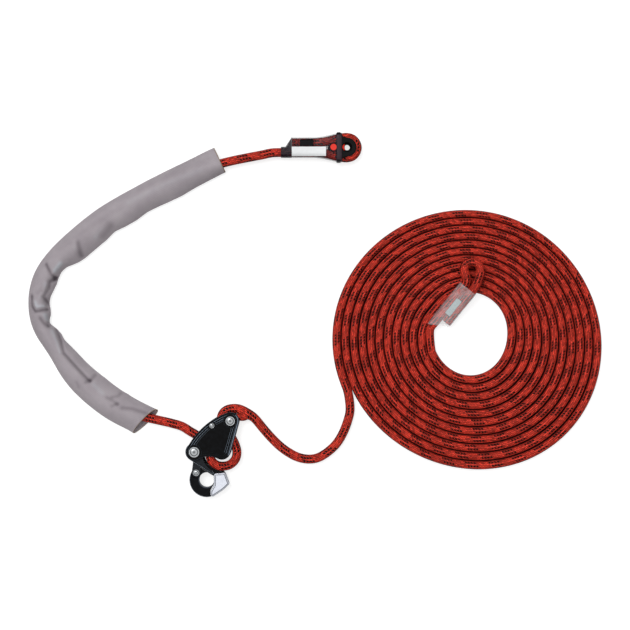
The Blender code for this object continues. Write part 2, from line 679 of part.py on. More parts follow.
def make_bushes(carrier):
    """Tubes on the rivets between the plates, which hold the plates apart."""
    low, high = REAR_TOP + GAP, FRONT_BOTTOM - GAP
    for name, place, inner, outer in (
        ("pivot_bush", PIVOT, PIVOT_SHANK_RADIUS + GAP, PIVOT_SHANK_RADIUS + GAP + PIVOT_BUSH_WALL),
        ("top_bush", TOP_POST, TOP_SHANK_RADIUS + GAP, TOP_BUSH_RADIUS),
        ("guide_spacer", GUIDE, GUIDE_SHANK_RADIUS + GAP, GUIDE_SHANK_RADIUS + GAP + GUIDE_SPACER_WALL),
    ):
        turned(
            name, [(inner, low), (outer, low), (outer, high), (inner, high)], place,
            round_sides(outer), bare_steel(), carrier, closed=True,
        )


def pivot_bore():
    """Radius of the arm's bores round the pivot bush."""
    return PIVOT_SHANK_RADIUS + PIVOT_BUSH_WALL + 2 * GAP


def web_wheels():
    """The neck from the arm's band down to the hook pin."""
    neck = (HOOK_PIN[0] + NECK_OFFSET[0], HOOK_PIN[1] + NECK_OFFSET[1])
    return [(HOOK_PIN, HOOK_BOSS_RADIUS), (neck, NECK_RADIUS)]


def nose_wheels():
    """The bare nose, hollow on the left where it borders the connector eye."""
    return [
        (NOSE_TOP_LEFT, NOSE_CORNER_RADIUS),
        (NOSE_HOLLOW, -NOSE_HOLLOW_RADIUS),
        (NOSE_SHOULDER, NOSE_TIP_RADIUS),
        (NOSE_TIP, NOSE_TIP_RADIUS),
        (NOSE_BULGE, NOSE_BULGE_RADIUS),
        (NOSE_RIGHT, NOSE_CORNER_RADIUS),
        (NOSE_TOP_RIGHT, NOSE_CORNER_RADIUS),
    ]


def make_cheek(name, boss, tip, hollow, low, high, web_low, web_high, web_parts, material, carrier):
    """One side of the arm: a tapering band cut hollow along the rope, and its web to the hook pin."""
    cheek = slab(
        name, [(PIVOT, boss), tip], chamfered(low, high, CHEEK_CHAMFER), material, carrier,
    )
    for index, wheels in enumerate(web_parts):
        sink = (index + 1) * WEB_SINK
        web = slab(
            f"tool_{name}_web_{index}", wheels, [(web_low + sink, 0.0), (web_high - sink, 0.0)],
            carrier=carrier,
        )
        boolean(cheek, web, "UNION")
    drill(cheek, f"{name}_hollow", LOOP_CENTRE, hollow, low - CUT_OVERRUN, high + CUT_OVERRUN, carrier)
    drill(cheek, f"{name}_pivot", PIVOT, pivot_bore(), low - CUT_OVERRUN, high + CUT_OVERRUN, carrier)
    drill(
        cheek, f"{name}_hook", HOOK_PIN, HOOK_SHANK_RADIUS + GAP, low - CUT_OVERRUN, high + CUT_OVERRUN,
        carrier,
    )
    return cheek


def make_arm_cheeks(carrier):
    chord = [(CHORD_START, CHORD_RADIUS), (CHORD_END, CHORD_RADIUS), (TONGUE_END, TONGUE_RADIUS)]
    make_cheek(
        "arm_front_cheek", CHEEK_BOSS_RADIUS, (BAND_TIP, BAND_TIP_RADIUS), FRONT_HOLLOW_RADIUS,
        FRONT_CHEEK_LOW, FRONT_CHEEK_HIGH, FRONT_CHEEK_LOW, WEB_TOP, [web_wheels(), chord],
        grey_anodised(), carrier,
    )
    backing = [(centre, radius - BACKING_INSET) for centre, radius in nose_wheels()]
    rear = make_cheek(
        "arm_rear_cheek", REAR_BOSS_RADIUS, (REAR_TIP, REAR_TIP_RADIUS), REAR_HOLLOW_RADIUS,
        REAR_CHEEK_LOW, REAR_CHEEK_HIGH, REAR_CHEEK_LOW, REAR_CHEEK_HIGH, [web_wheels(), chord, backing],
        grey_anodised(), carrier,
    )
    drill(
        rear, "rear_nose", NOSE_PIN, NOSE_PIN_RADIUS + GAP, REAR_CHEEK_LOW - CUT_OVERRUN,
        REAR_CHEEK_HIGH + CUT_OVERRUN, carrier,
    )


def make_arm_cam(carrier):
    """The cam round the pivot, grooved where it grips the rope, with a recess for its spring."""
    cam = turned(
        "arm_cam",
        [(pivot_bore(), CORE_LOW), (CAM_RADIUS - GAP, CORE_LOW), (CAM_RADIUS, CORE_LOW + GAP),
         (CAM_RADIUS, CORE_HIGH - GAP), (CAM_RADIUS - GAP, CORE_HIGH), (pivot_bore(), CORE_HIGH)],
        PIVOT, round_sides(CAM_RADIUS), bare_steel(), carrier, closed=True,
    )
    for index in range(CAM_GROOVES):
        angle = CAM_GROOVE_ANGLE + (index - (CAM_GROOVES - 1) / 2) * CAM_GROOVE_PITCH
        reach = CAM_RADIUS + CAM_GROOVE_RADIUS / 2
        place = (PIVOT[0] + reach * math.cos(angle), PIVOT[1] + reach * math.sin(angle))
        drill(
            cam, f"cam_groove_{index}", place, CAM_GROOVE_RADIUS,
            CORE_LOW - CUT_OVERRUN, CORE_HIGH + CUT_OVERRUN, carrier,
        )
    room = SPRING_RADIUS + SPRING_WIRE / 2 + SPRING_ROOM
    inner = SPRING_RADIUS - SPRING_WIRE / 2 - SPRING_ROOM
    floor = CORE_LOW + CAM_FLOOR
    recess = turned(
        "tool_spring_recess",
        [(inner, floor), (room, floor), (room, CORE_HIGH + CUT_OVERRUN), (inner, CORE_HIGH + CUT_OVERRUN)],
        PIVOT, round_sides(room), carrier=carrier, closed=True,
    )
    boolean(cam, recess, "DIFFERENCE")


def make_arm_spring(carrier):
    """Torsion spring coiled round the pivot inside the cam."""
    steps = round(SPRING_TURNS * SPRING_STEPS)
    top = CORE_HIGH - GAP - SPRING_WIRE
    points = []
    for step in range(steps + 1):
        angle = 2 * math.pi * step / SPRING_STEPS
        points.append((
            PIVOT[0] + SPRING_RADIUS * math.cos(angle),
            PIVOT[1] + SPRING_RADIUS * math.sin(angle),
            top - SPRING_PITCH * step / SPRING_STEPS,
        ))
    rope_tube("arm_spring", np.array(points), SPRING_WIRE, 1, material=bare_steel(), carrier=carrier)


def make_nose_plate(carrier):
    """The bevelled nose, with a tongue that runs between the cheeks."""
    low, high = CORE_LOW, FRONT_CHEEK_HIGH
    nose = slab(
        "nose_plate", nose_wheels(),
        [(low, CHEEK_CHAMFER), (low + CHEEK_CHAMFER, 0.0), (high - NOSE_CHAMFER / 2, 0.0),
         (high, NOSE_CHAMFER)],
        bare_aluminium(), carrier,
    )
    tongue = slab(
        "tool_tongue", [(TONGUE_END, TONGUE_RADIUS), (NOSE_TOP_LEFT, TONGUE_RADIUS)],
        [(CORE_LOW + WEB_SINK, 0.0), (CORE_HIGH, 0.0)], carrier=carrier,
    )
    boolean(nose, tongue, "UNION")
    drill(
        nose, "nose_pin", NOSE_PIN, NOSE_PIN_RADIUS + GAP, low - CUT_OVERRUN, low + NOSE_PIN_DEPTH, carrier,
    )


def make_nose_pin(carrier):
    low, high = REAR_CHEEK_LOW, CORE_LOW + NOSE_PIN_DEPTH - GAP
    turned(
        "nose_pin",
        [(0.0, low), (NOSE_PIN_RADIUS, low), (NOSE_PIN_RADIUS, high - GAP),
         (NOSE_PIN_RADIUS - GAP, high), (0.0, high)],
        NOSE_PIN, round_sides(NOSE_PIN_RADIUS), bare_steel(), carrier,
    )


def make_hook_rivet(carrier):
    low = REAR_CHEEK_LOW
    turned(
        "hook_rivet",
        [(0.0, low), (HOOK_SHANK_RADIUS, low)]
        + domed_head(HOOK_HEAD_RADIUS, HOOK_SHANK_RADIUS, WEB_TOP + GAP),
        HOOK_PIN, round_sides(HOOK_HEAD_RADIUS), bare_steel(), carrier,
    )


def make_eye_hook(carrier):
    """The black hook: three quarters of a thick ring, thinned at its root to fit between the cheeks."""
    low = CORE_MIDDLE - RING_THICKNESS / 2
    high = CORE_MIDDLE + RING_THICKNESS / 2
    edge = RING_CHAMFER
    hook = turned(
        "eye_hook",
        [(EYE_RADIUS, low + edge), (EYE_RADIUS + edge, low), (RING_RADIUS - edge, low),
         (RING_RADIUS, low + edge), (RING_RADIUS, high - edge), (RING_RADIUS - edge, high),
         (EYE_RADIUS + edge, high), (EYE_RADIUS, high - edge)],
        EYE, round_sides(RING_RADIUS), black_anodised(), carrier, closed=True,
    )
    reach = low - CUT_OVERRUN, high + CUT_OVERRUN
    nose_room = [(centre, radius + SEAM_GAP) for centre, radius in nose_wheels()]
    nose_tool = slab("tool_nose_room", nose_room, [(reach[0], 0.0), (reach[1], 0.0)], carrier=carrier)
    boolean(hook, nose_tool, "DIFFERENCE")
    band_room = [
        (PIVOT, CHEEK_BOSS_RADIUS + SEAM_GAP), (CHORD_START, CHORD_RADIUS + SEAM_GAP),
        (HOOK_ROOM_END, HOOK_ROOM_END_RADIUS), (NOSE_TOP_RIGHT, NOSE_CORNER_RADIUS),
    ]
    band_tool = slab("tool_band_room", band_room, [(reach[0], 0.0), (reach[1], 0.0)], carrier=carrier)
    boolean(hook, band_tool, "DIFFERENCE")
    right, top = EYE[0] + 2 * RING_RADIUS, PIVOT[1] + 2 * RING_RADIUS
    bottom = EYE[1] - 2 * RING_RADIUS
    beyond_nose = [
        NOSE_SHOULDER, (NOSE_TIP[0], bottom), (right, bottom), (right, NOSE_TOP_RIGHT[1]), NOSE_TOP_RIGHT,
    ]
    beyond_band = [
        NOSE_TOP_RIGHT, (right, NOSE_TOP_RIGHT[1]), (right, top), (PIVOT[0], top), PIVOT,
    ]
    for name, corners in (("nose", beyond_nose), ("band", beyond_band)):
        wheels = [(corner, NOSE_TIP_RADIUS / 2) for corner in corners]
        tool = slab(f"tool_beyond_{name}", wheels, [(reach[0], 0.0), (reach[1], 0.0)], carrier=carrier)
        boolean(hook, tool, "DIFFERENCE")
    neck, neck_radius = web_wheels()[1]
    swing = [(HOOK_PIN, HOOK_BOSS_RADIUS + HOOK_SWING_ROOM), (neck, neck_radius + SEAM_GAP)]
    for name, start, end in (("below", reach[0], CORE_LOW), ("above", CORE_HIGH, reach[1])):
        tool = slab(f"tool_hook_{name}", swing, [(start, 0.0), (end, 0.0)], carrier=carrier)
        boolean(hook, tool, "DIFFERENCE")
    drill(
        hook, "hook_pin", HOOK_PIN, HOOK_SHANK_RADIUS + GAP, low - CUT_OVERRUN, high + CUT_OVERRUN, carrier,
    )


def waves(sizes, angles):
    """Sum of a cosine and a sine wave for each pair of sizes: once round, twice round and so on."""
    return sum(
        along * np.cos(count * angles) + across * np.sin(count * angles)
        for count, (along, across) in enumerate(sizes, start=1)
    )


def coil_line():
    """The coil's middle line and each point's share of the full rope, from its outer to its inner end."""
    steps = round(COIL_TURNS * COIL_STEPS_PER_TURN)
    turns = np.arange(steps + 1) / COIL_STEPS_PER_TURN
    angles = COIL_START_ANGLE - 2 * math.pi * turns
    reach = COIL_RADIUS + waves(COIL_RADIUS_WAVES, angles)
    pitch = COIL_PITCH + waves(COIL_PITCH_WAVES, angles)
    tuck = np.clip(1 - (COIL_TURNS - turns) / COIL_TUCK_TURNS, 0.0, 1.0)
    radii = reach - pitch * turns - COIL_TUCK * tuck ** 2 * (3 - 2 * tuck)
    flat = np.column_stack([
        COIL_CENTRE[0] + radii * np.cos(angles), COIL_CENTRE[1] + radii * np.sin(angles),
    ])
    start_angle, end_angle = angles[0], angles[-1] - math.pi / COIL_STEPS_PER_TURN
    start = flat[0] - ROPE_DIAMETER * np.array([math.sin(start_angle), -math.cos(start_angle)])
    end = flat[-1] + ROPE_DIAMETER * np.array([math.sin(end_angle), -math.cos(end_angle)])
    flat = np.vstack([start, flat, end])
    pressed = COIL_ROPE_DIAMETER / ROPE_DIAMETER
    shares = np.full(len(flat), pressed)
    shares[[0, 1, -2, -1]] = 1.0
    shares[[2, -3]] = (1.0 + pressed) / 2
    return np.column_stack([flat, shares * ROPE_RADIUS]), shares


def coil_gap(points, shares):
    """The least gap between the coil's turns: a six-sided tube on its edge is flat at its sides."""
    rings = 8
    count = (len(points) - 1) * rings + 1
    marks = np.linspace(0.0, len(points) - 1, count)
    index = np.arange(len(points))
    line = np.column_stack([np.interp(marks, index, points[:, axis]) for axis in range(2)])
    half = np.interp(marks, index, shares) * ROPE_RADIUS * math.cos(math.pi / 6)
    apart = COIL_STEPS_PER_TURN * rings // 2
    least = math.inf
    for place in range(len(line) - apart):
        distance = np.linalg.norm(line[place + apart:] - line[place], axis=1)
        least = min(least, float((distance - half[place + apart:] - half[place]).min()))
    return least


def make_rope_coil(carrier):
    points, shares = coil_line()
    rope_tube("rope_coil", points, ROPE_DIAMETER, 1, shares, tilt=math.pi / 6, carrier=carrier)
    print(f"rope coil: {line_length(points):.3f} m, least gap {coil_gap(points, shares) * 1000:.2f} mm")


def coil_ends():
    """Where the coil starts and ends, each with the heading that the rope has there."""
    points, _ = coil_line()
    start_heading = (points[1] - points[0]) * (1.0, 1.0, 0.0)
    end_heading = (points[-1] - points[-2]) * (1.0, 1.0, 0.0)
    return (
        (points[0], start_heading / np.linalg.norm(start_heading)),
        (points[-1], end_heading / np.linalg.norm(end_heading)),
    )


def straight_run(meeting, side):
    """The straight run at a rope's end, one diameter long and just clear of where it meets another."""
    place, heading = (np.array(part, dtype=float) for part in meeting)
    heading = side * heading / np.linalg.norm(heading)
    return [place + heading * GAP / 2, place + heading * ROPE_DIAMETER]


def rope_line(route, start=None, end=None, step_share=1.0):
    """Points along a rope: a smooth curve along the route, with straight runs where it meets others."""
    first = straight_run(start, 1) if start else []
    last = straight_run(end, -1)[::-1] if end else []
    whole = [tuple(place) for place in first[1:]] + route + [tuple(place) for place in last[:1]]
    points = smooth_line(whole, ROPE_LONG_STEP * step_share, ROPE_TURN_STEP * step_share)
    return np.vstack(first[:1] + [points] + last[1:])


def lead_line(step_share=1.0):
    place, heading = LEAD_MEETS_EYE
    start = (place, tuple(-share for share in heading))
    return rope_line(LEAD_ROUTE, start, LEAD_MEETS_GRIP, step_share)


def free_rope(name, points):
    rope_tube(name, points, ROPE_DIAMETER, 2)
    print(f"{name}: {line_length(points):.3f} m, {len(points)} points")


def make_free_ropes():
    coil_start, coil_end = coil_ends()
    free_rope("rope_lead", lead_line())
    free_rope("rope_grip_loop", rope_line(GRIP_ROUTE, LEAD_MEETS_GRIP, GRIP_MEETS_TAIL))
    free_rope("rope_tail", rope_line(TAIL_ROUTE, GRIP_MEETS_TAIL, coil_start))
    free_rope("rope_eye", rope_line(THIMBLE_ROUTE, LEAD_MEETS_EYE))
    free_rope("end_eye", rope_line(END_EYE_ROUTE, coil_end))


def make_thimble(carrier):
    """A round thimble with a rope groove, a solid neck and an ear that holds both legs."""
    middle = THIMBLE_HEIGHT
    groove = ROPE_RADIUS + THIMBLE_PLAY
    reach = THIMBLE_ROPE_RADIUS - THIMBLE_FLANGE_RADIUS
    start = math.acos(-reach / groove)
    profile = [(THIMBLE_FLANGE_RADIUS, middle + THIMBLE_HALF_WIDTH)]
    for step in range(THIMBLE_GROOVE_STEPS + 1):
        angle = start + (2 * math.pi - 2 * start) * step / THIMBLE_GROOVE_STEPS
        profile.append((
            THIMBLE_ROPE_RADIUS + groove * math.cos(angle), middle + groove * math.sin(angle),
        ))
    throat = THIMBLE_HALF_WIDTH - THIMBLE_MOUTH_DEPTH
    profile += [
        (THIMBLE_FLANGE_RADIUS, middle - THIMBLE_HALF_WIDTH),
        (THIMBLE_MOUTH_RADIUS, middle - THIMBLE_HALF_WIDTH),
        (THIMBLE_HOLE_RADIUS, middle - throat),
        (THIMBLE_HOLE_RADIUS, middle + throat),
        (THIMBLE_MOUTH_RADIUS, middle + THIMBLE_HALF_WIDTH),
    ]
    thimble = turned(
        "thimble", profile, THIMBLE, round_sides(THIMBLE_FLANGE_RADIUS), black_nylon(), carrier, closed=True,
    )
    neck = slab(
        "tool_thimble_neck",
        [((THIMBLE[0] + NECK_TIP[0], THIMBLE[1]), NECK_TIP_RADIUS),
         ((THIMBLE[0] + NECK_ROOT[0], THIMBLE[1]), NECK_ROOT_RADIUS)],
        [(middle - NECK_HALF_WIDTH, 0.0), (middle + NECK_HALF_WIDTH, 0.0)], carrier=carrier,
    )
    boolean(thimble, neck, "UNION")
    left = THIMBLE[0] + EAR_MIDDLE - EAR_LENGTH / 2
    right = THIMBLE[0] + EAR_MIDDLE + EAR_LENGTH / 2
    half = EAR_INNER + EAR_WALL
    yoke = cut_box(
        "tool_yoke", (left, THIMBLE[1] - half, middle - EAR_HALF_HEIGHT),
        (right, THIMBLE[1] + half, middle + EAR_HALF_HEIGHT), carrier,
    )
    for side, name in ((-1, "lower"), (1, "upper")):
        near, far = sorted((THIMBLE[1] + side * EAR_ROOT, THIMBLE[1] + side * EAR_INNER))
        room = ROPE_RADIUS + GAP
        inside = cut_box(
            f"tool_ear_{name}", (left - CUT_OVERRUN, near, middle - room),
            (right + CUT_OVERRUN, far, middle + room), carrier,
        )
        boolean(yoke, inside, "DIFFERENCE")
    boolean(thimble, yoke, "UNION")
    drill(
        thimble, "keeper_slot", (THIMBLE[0] + KEEPER_MIDDLE, THIMBLE[1]), KEEPER_RADIUS + GAP,
        middle - KEEPER_HALF_HEIGHT - GAP, middle + KEEPER_HALF_HEIGHT + GAP, carrier,
    )
    drill(
        thimble, "thimble_button", (THIMBLE[0] + BUTTON_MIDDLE, THIMBLE[1]), BUTTON_STEM_RADIUS + GAP,
        middle - NECK_HALF_WIDTH - CUT_OVERRUN, middle + NECK_HALF_WIDTH + CUT_OVERRUN, carrier,
    )


def make_eye_keeper(carrier):
    """The red rubber crescent in the thimble's eye, hollow where it faces the connector."""
    low, high = THIMBLE_HEIGHT - KEEPER_HALF_HEIGHT, THIMBLE_HEIGHT + KEEPER_HALF_HEIGHT
    keeper = turned(
        "eye_keeper",
        [(0.0, low), (KEEPER_RADIUS, low), (KEEPER_RADIUS, high), (0.0, high)],
        (THIMBLE[0] + KEEPER_MIDDLE, THIMBLE[1]), round_sides(KEEPER_RADIUS), red_rubber(), carrier,
    )
    reach = low - CUT_OVERRUN, high + CUT_OVERRUN
    drill(keeper, "keeper_hollow", THIMBLE, KEEPER_HOLLOW_RADIUS, *reach, carrier)
    trim = cut_box(
        "tool_keeper_trim", (THIMBLE[0] + KEEPER_HORNS, THIMBLE[1] - 2 * KEEPER_RADIUS, reach[0]),
        (THIMBLE[0] + 2 * KEEPER_RADIUS, THIMBLE[1] + 2 * KEEPER_RADIUS, reach[1]), carrier,
    )
    boolean(keeper, trim, "DIFFERENCE")


def make_keeper_button(carrier):
    """The red button: a stem through the neck with a flat head at each end."""
    seat = NECK_HALF_WIDTH + GAP
    half = [
        (BUTTON_STEM_RADIUS, seat), (BUTTON_RADIUS, seat),
        (BUTTON_RADIUS, seat + BUTTON_THICKNESS - GAP), (BUTTON_RADIUS - GAP, seat + BUTTON_THICKNESS),
        (0.0, seat + BUTTON_THICKNESS),
    ]
    profile = [(radius, THIMBLE_HEIGHT - height) for radius, height in reversed(half)]
    profile += [(radius, THIMBLE_HEIGHT + height) for radius, height in half]
    turned(
        "keeper_button", profile, (THIMBLE[0] + BUTTON_MIDDLE, THIMBLE[1]), round_sides(BUTTON_RADIUS),
        red_rubber(), carrier,
    )


def slot_ring(half_width, half_height, steps):
    """Points round a section with flat faces and half-round sides, as (across, up) pairs."""
    radius = min(half_width, half_height)
    shift = half_width - radius
    ring = []
    for side in (1, -1):
        for step in range(steps + 1):
            angle = -math.pi / 2 + math.pi * step / steps
            ring.append((side * (shift + radius * math.cos(angle)), side * half_height * math.sin(angle)))
    return ring


def cover_stations():
    """The splice cover's inside along the thimble's axis: station, middle, half width, half height."""
    room = ROPE_RADIUS + COVER_ROOM
    pair = LEG_HALF_SPACING + room
    stations = [
        (COVER_LEFT, -LEG_HALF_SPACING, room, room),
        (COVER_LEFT + ROPE_RADIUS, -LEG_HALF_SPACING, room, room),
        (COVER_STEP, 0.0, pair, room),
        (COVER_STRAIGHT, 0.0, pair, room),
    ]
    for station, half_width, half_height in reversed(list(zip(
        COVER_FLARE, COVER_FLARE_HALF_WIDTHS, COVER_FLARE_HALF_HEIGHTS,
    ))):
        stations.append((station, 0.0, half_width, half_height))
    stations.append((
        COVER_END, 0.0, COVER_FLARE_HALF_WIDTHS[0] + (EAR_INNER - COVER_FLARE_HALF_WIDTHS[0]) / 2,
        COVER_FLARE_HALF_HEIGHTS[0],
    ))
    return stations


def make_splice_cover(carrier):
    """A thin open-ended cover that steps over the doubled rope and flares round the thimble."""
    outer, inner = [], []
    for station, middle, half_width, half_height in cover_stations():
        for rings, wall in ((outer, COVER_WALL), (inner, 0.0)):
            section = slot_ring(half_width + wall, half_height + wall, COVER_CORNER_STEPS)
            rings.append([
                (THIMBLE[0] + station, THIMBLE[1] + middle + across, THIMBLE_HEIGHT + up)
                for across, up in section
            ])
    bm = bmesh.new()
    bridge(bm, outer + inner[::-1], closed=True)
    return add_object("splice_cover", bm, smoky_cover(), carrier)


def bent_label(name, line, angles, material, carrier):
    """A thin label bent over one leg of the rope: stations with the leg's middle, and two angles."""
    low = ROPE_RADIUS + LABEL_ROOM
    section = []
    for radius, turns in (
        (low, range(LABEL_STEPS + 1)), (low + LABEL_THICKNESS, range(LABEL_STEPS, -1, -1)),
    ):
        for step in turns:
            angle = angles[0] + (angles[1] - angles[0]) * step / LABEL_STEPS
            section.append((radius * math.cos(angle), radius * math.sin(angle)))
    bm = bmesh.new()
    made = bridge(bm, [
        [(THIMBLE[0] + station, THIMBLE[1] + leg + across, THIMBLE_HEIGHT + up) for across, up in section]
        for station, leg in line
    ])
    bm.faces.new(made[0])
    bm.faces.new(list(reversed(made[-1])))
    add_object(name, bm, material, carrier)


def make_splice_labels(carrier):
    bent_label("splice_label", LABEL_LINE, LABEL_ANGLES, pale_label(), carrier)
    bent_label("splice_tag", TAG_LINE, TAG_ANGLES, dark_label(), carrier)


def end_leg_frame():
    """Where the sewn legs at the coil's inner end lie: middle, and the directions along, across, up."""
    start, end = (Vector(place) for place in END_LEG)
    along = (end - start).normalized()
    across = along.cross(Vector((0.0, 0.0, 1.0))).normalized()
    up = across.cross(along)
    return start + LEG_HALF_SPACING * across, along, across, up


def place_section(origin, along, across, up, station, ring):
    return [tuple(origin + along * station + across * side + up * height) for side, height in ring]


def make_end_sleeve():
    """The clear open-ended sleeve over the two sewn legs."""
    origin, along, across, up = end_leg_frame()
    room = ROPE_RADIUS + COVER_ROOM
    width = 2 * (LEG_HALF_SPACING + room)
    left, right = END_SLEEVE_LOW
    outer, inner = [], []
    for low_end in (True, False):
        for rings, wall in ((outer, COVER_WALL), (inner, 0.0)):
            section = slot_ring(width / 2 + wall, room + wall, COVER_CORNER_STEPS)
            ring = []
            for side, height in section:
                slant = (left + right) / 2 + (right - left) * side / width
                station = slant if low_end else END_SLEEVE_HIGH
                ring.append(tuple(origin + along * station + across * side + up * height))
            rings.append(ring)
    bm = bmesh.new()
    bridge(bm, outer + inner[::-1], closed=True)
    add_object("end_shrink_sleeve", bm, clear_cover())


def make_end_label():
    origin, along, across, up = end_leg_frame()
    low = ROPE_RADIUS + LABEL_ROOM
    half = END_LABEL_WIDTH / 2
    section = [(-half, low), (half, low), (half, low + LABEL_THICKNESS), (-half, low + LABEL_THICKNESS)]
    bm = bmesh.new()
    made = bridge(bm, [
        place_section(origin, along, across, up, END_LABEL_MIDDLE + side * END_LABEL_LENGTH / 2, section)
        for side in (-1, 1)
    ])
    bm.faces.new(made[0])
    bm.faces.new(list(reversed(made[1])))
    add_object("end_label", bm, pale_label())


def sleeve_stations():
    """For each ring of the sleeve: place along the rope, half widths inside and outside, and slant."""
    marks, inner, outer = np.array(SLEEVE_EDGES).T
    near_start = np.clip(1 - (marks - marks[0]) / SLEEVE_SLANT_REACH, 0.0, 1.0)
    near_end = np.clip(1 - (marks[-1] - marks) / SLEEVE_SLANT_REACH, 0.0, 1.0)
    start, end = SLEEVE_SLANTS
    return marks, ROPE_RADIUS + inner, ROPE_RADIUS + outer, start * near_start ** 2 + end * near_end ** 2


def sleeve_section(inner, outer, wall):
    """A flattened round section, low at its edges; positive across is the inner side of the bend."""
    half_height = ROPE_RADIUS + SLEEVE_PLAY + SLEEVE_WALL - wall
    ring = []
    for step in range(SLEEVE_SIDES):
        angle = 2 * math.pi * step / SLEEVE_SIDES
        side = math.cos(angle)
        half_width = inner if side > 0 else outer
        drop = SLEEVE_EDGE_DROP * (1 - ROPE_RADIUS / half_width)
        ring.append((side * (half_width - wall), half_height * math.sin(angle) - drop * side ** 2))
    return ring


def make_protective_sleeve():
    """The woven wear sleeve: an open-ended flattened tube that follows the rope, folded in the bend."""
    fine = lead_line(SLEEVE_LINE_SHARE)
    runs = np.concatenate([[0.0], np.cumsum(np.linalg.norm(np.diff(fine, axis=0), axis=1))])
    marks, inner_half, outer_half, slants = sleeve_stations()
    line = np.column_stack([np.interp(marks, runs, fine[:, axis]) for axis in range(3)])
    headings = np.gradient(line, marks, axis=0)
    headings[:, 2] = 0.0
    headings /= np.linalg.norm(headings, axis=1)[:, None]
    skin, lining = [], []
    for place, heading, inner, outer, slant in zip(line, headings, inner_half, outer_half, slants):
        across = np.array([-heading[1], heading[0], 0.0]) + slant * heading
        for rings, wall in ((skin, 0.0), (lining, SLEEVE_WALL)):
            rings.append([
                tuple(place + across * side + np.array([0.0, 0.0, height]))
                for side, height in sleeve_section(inner, outer, wall)
            ])
    bm = bmesh.new()
    bridge(bm, skin + lining[::-1], closed=True)
    add_object("protective_sleeve", bm, grey_weave())


def main():
    clear_scene()
    adjuster = axis_empty("adjuster", (0.0, 0.0, 0.0))
    arm_axis = axis_empty("arm_axis", (*PIVOT, 0.0), adjuster)
    hook_axis = axis_empty("hook_axis", (*HOOK_PIN, 0.0), arm_axis)
    thimble_end = axis_empty("thimble_end", (*THIMBLE, 0.0))
    coil_middle = axis_empty("coil_middle", (*COIL_CENTRE, 0.0))
    make_front_plate(adjuster)
    make_rear_plate(adjuster)
    make_plate_rivets(adjuster)
    make_bushes(adjuster)
    make_arm_cheeks(arm_axis)
    make_arm_cam(arm_axis)
    make_arm_spring(arm_axis)
    make_nose_plate(arm_axis)
    make_nose_pin(arm_axis)
    make_hook_rivet(arm_axis)
    make_eye_hook(hook_axis)
    make_free_ropes()
    make_rope_coil(coil_middle)
    make_thimble(thimble_end)
    make_eye_keeper(thimble_end)
    make_keeper_button(thimble_end)
    make_splice_cover(thimble_end)
    make_splice_labels(thimble_end)
    make_end_sleeve()
    make_end_label()
    make_protective_sleeve()


main()
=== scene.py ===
import math

import bpy
import numpy as np
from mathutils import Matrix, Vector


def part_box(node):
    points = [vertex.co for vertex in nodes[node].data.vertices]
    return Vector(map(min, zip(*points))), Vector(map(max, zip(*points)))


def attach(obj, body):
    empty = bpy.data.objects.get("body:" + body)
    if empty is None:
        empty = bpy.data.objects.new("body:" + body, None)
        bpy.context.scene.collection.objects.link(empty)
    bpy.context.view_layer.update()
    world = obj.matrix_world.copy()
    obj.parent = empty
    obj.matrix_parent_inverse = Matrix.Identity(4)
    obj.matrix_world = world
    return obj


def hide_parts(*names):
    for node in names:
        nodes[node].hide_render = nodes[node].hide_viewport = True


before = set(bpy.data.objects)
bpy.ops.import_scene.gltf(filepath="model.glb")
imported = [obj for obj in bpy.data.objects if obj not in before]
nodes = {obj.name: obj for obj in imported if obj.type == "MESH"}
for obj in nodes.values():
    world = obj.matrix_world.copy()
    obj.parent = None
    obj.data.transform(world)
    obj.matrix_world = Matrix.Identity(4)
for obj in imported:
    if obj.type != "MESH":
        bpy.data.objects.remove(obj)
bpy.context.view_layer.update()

print("frame loaded:", len(nodes), "nodes")


# sRGB hex value to the linear colour that a socket takes
def linear(hexValue):
    share = np.array([int(hexValue[i:i + 2], 16) / 255 for i in (1, 3, 5)])
    share = np.where(share > 0.04045, ((share + 0.055) / 1.055) ** 2.4, share / 12.92)
    return (*share.tolist(), 1.0)


# adds a node, whose kind may be followed by its operation; sets its settings and fills its inputs by name or
# number: a socket is linked, anything else is set; gives the output asked for, or the node itself where give
# is None
def addNode(tree, kind, inputs=(), give=0, **settings):
    kind, *operation = kind.split()
    node = tree.nodes.new("ShaderNode" + kind)
    if operation:
        node.operation = operation[0]
    for name, value in settings.items():
        setattr(node, name, value)
    for key, value in inputs.items() if isinstance(inputs, dict) else enumerate(inputs):
        if isinstance(value, bpy.types.NodeSocket):
            tree.links.new(value, node.inputs[key])
        elif value is not None:
            node.inputs[key].default_value = value
    return node if give is None else node.outputs[give]


# lays colours over a first one, each as far as its mask says; a mask is a socket or the name of an attribute,
# a colour is a socket or a hex value
def layered(tree, colour, *layers):
    colour = linear(colour) if isinstance(colour, str) else colour
    for mask, tone in layers:
        mask = addNode(tree, "Attribute", attribute_name=mask, give="Fac") if isinstance(mask, str) else mask
        tone = linear(tone) if isinstance(tone, str) else tone
        colour = addNode(tree, "Mix", {0: mask, 6: colour, 7: tone}, give=2, data_type="RGBA")
    return colour


# a material with an empty node tree, and that tree
def newMaterial(name):
    material = bpy.data.materials.new(name)
    material.use_nodes = True
    material.node_tree.nodes.clear()
    return material, material.node_tree


# the principled shader with these inputs, and the material's output
def finishMaterial(material, inputs):
    skin = addNode(material.node_tree, "BsdfPrincipled", inputs)
    addNode(material.node_tree, "OutputMaterial", (skin,), give=None)
    return material


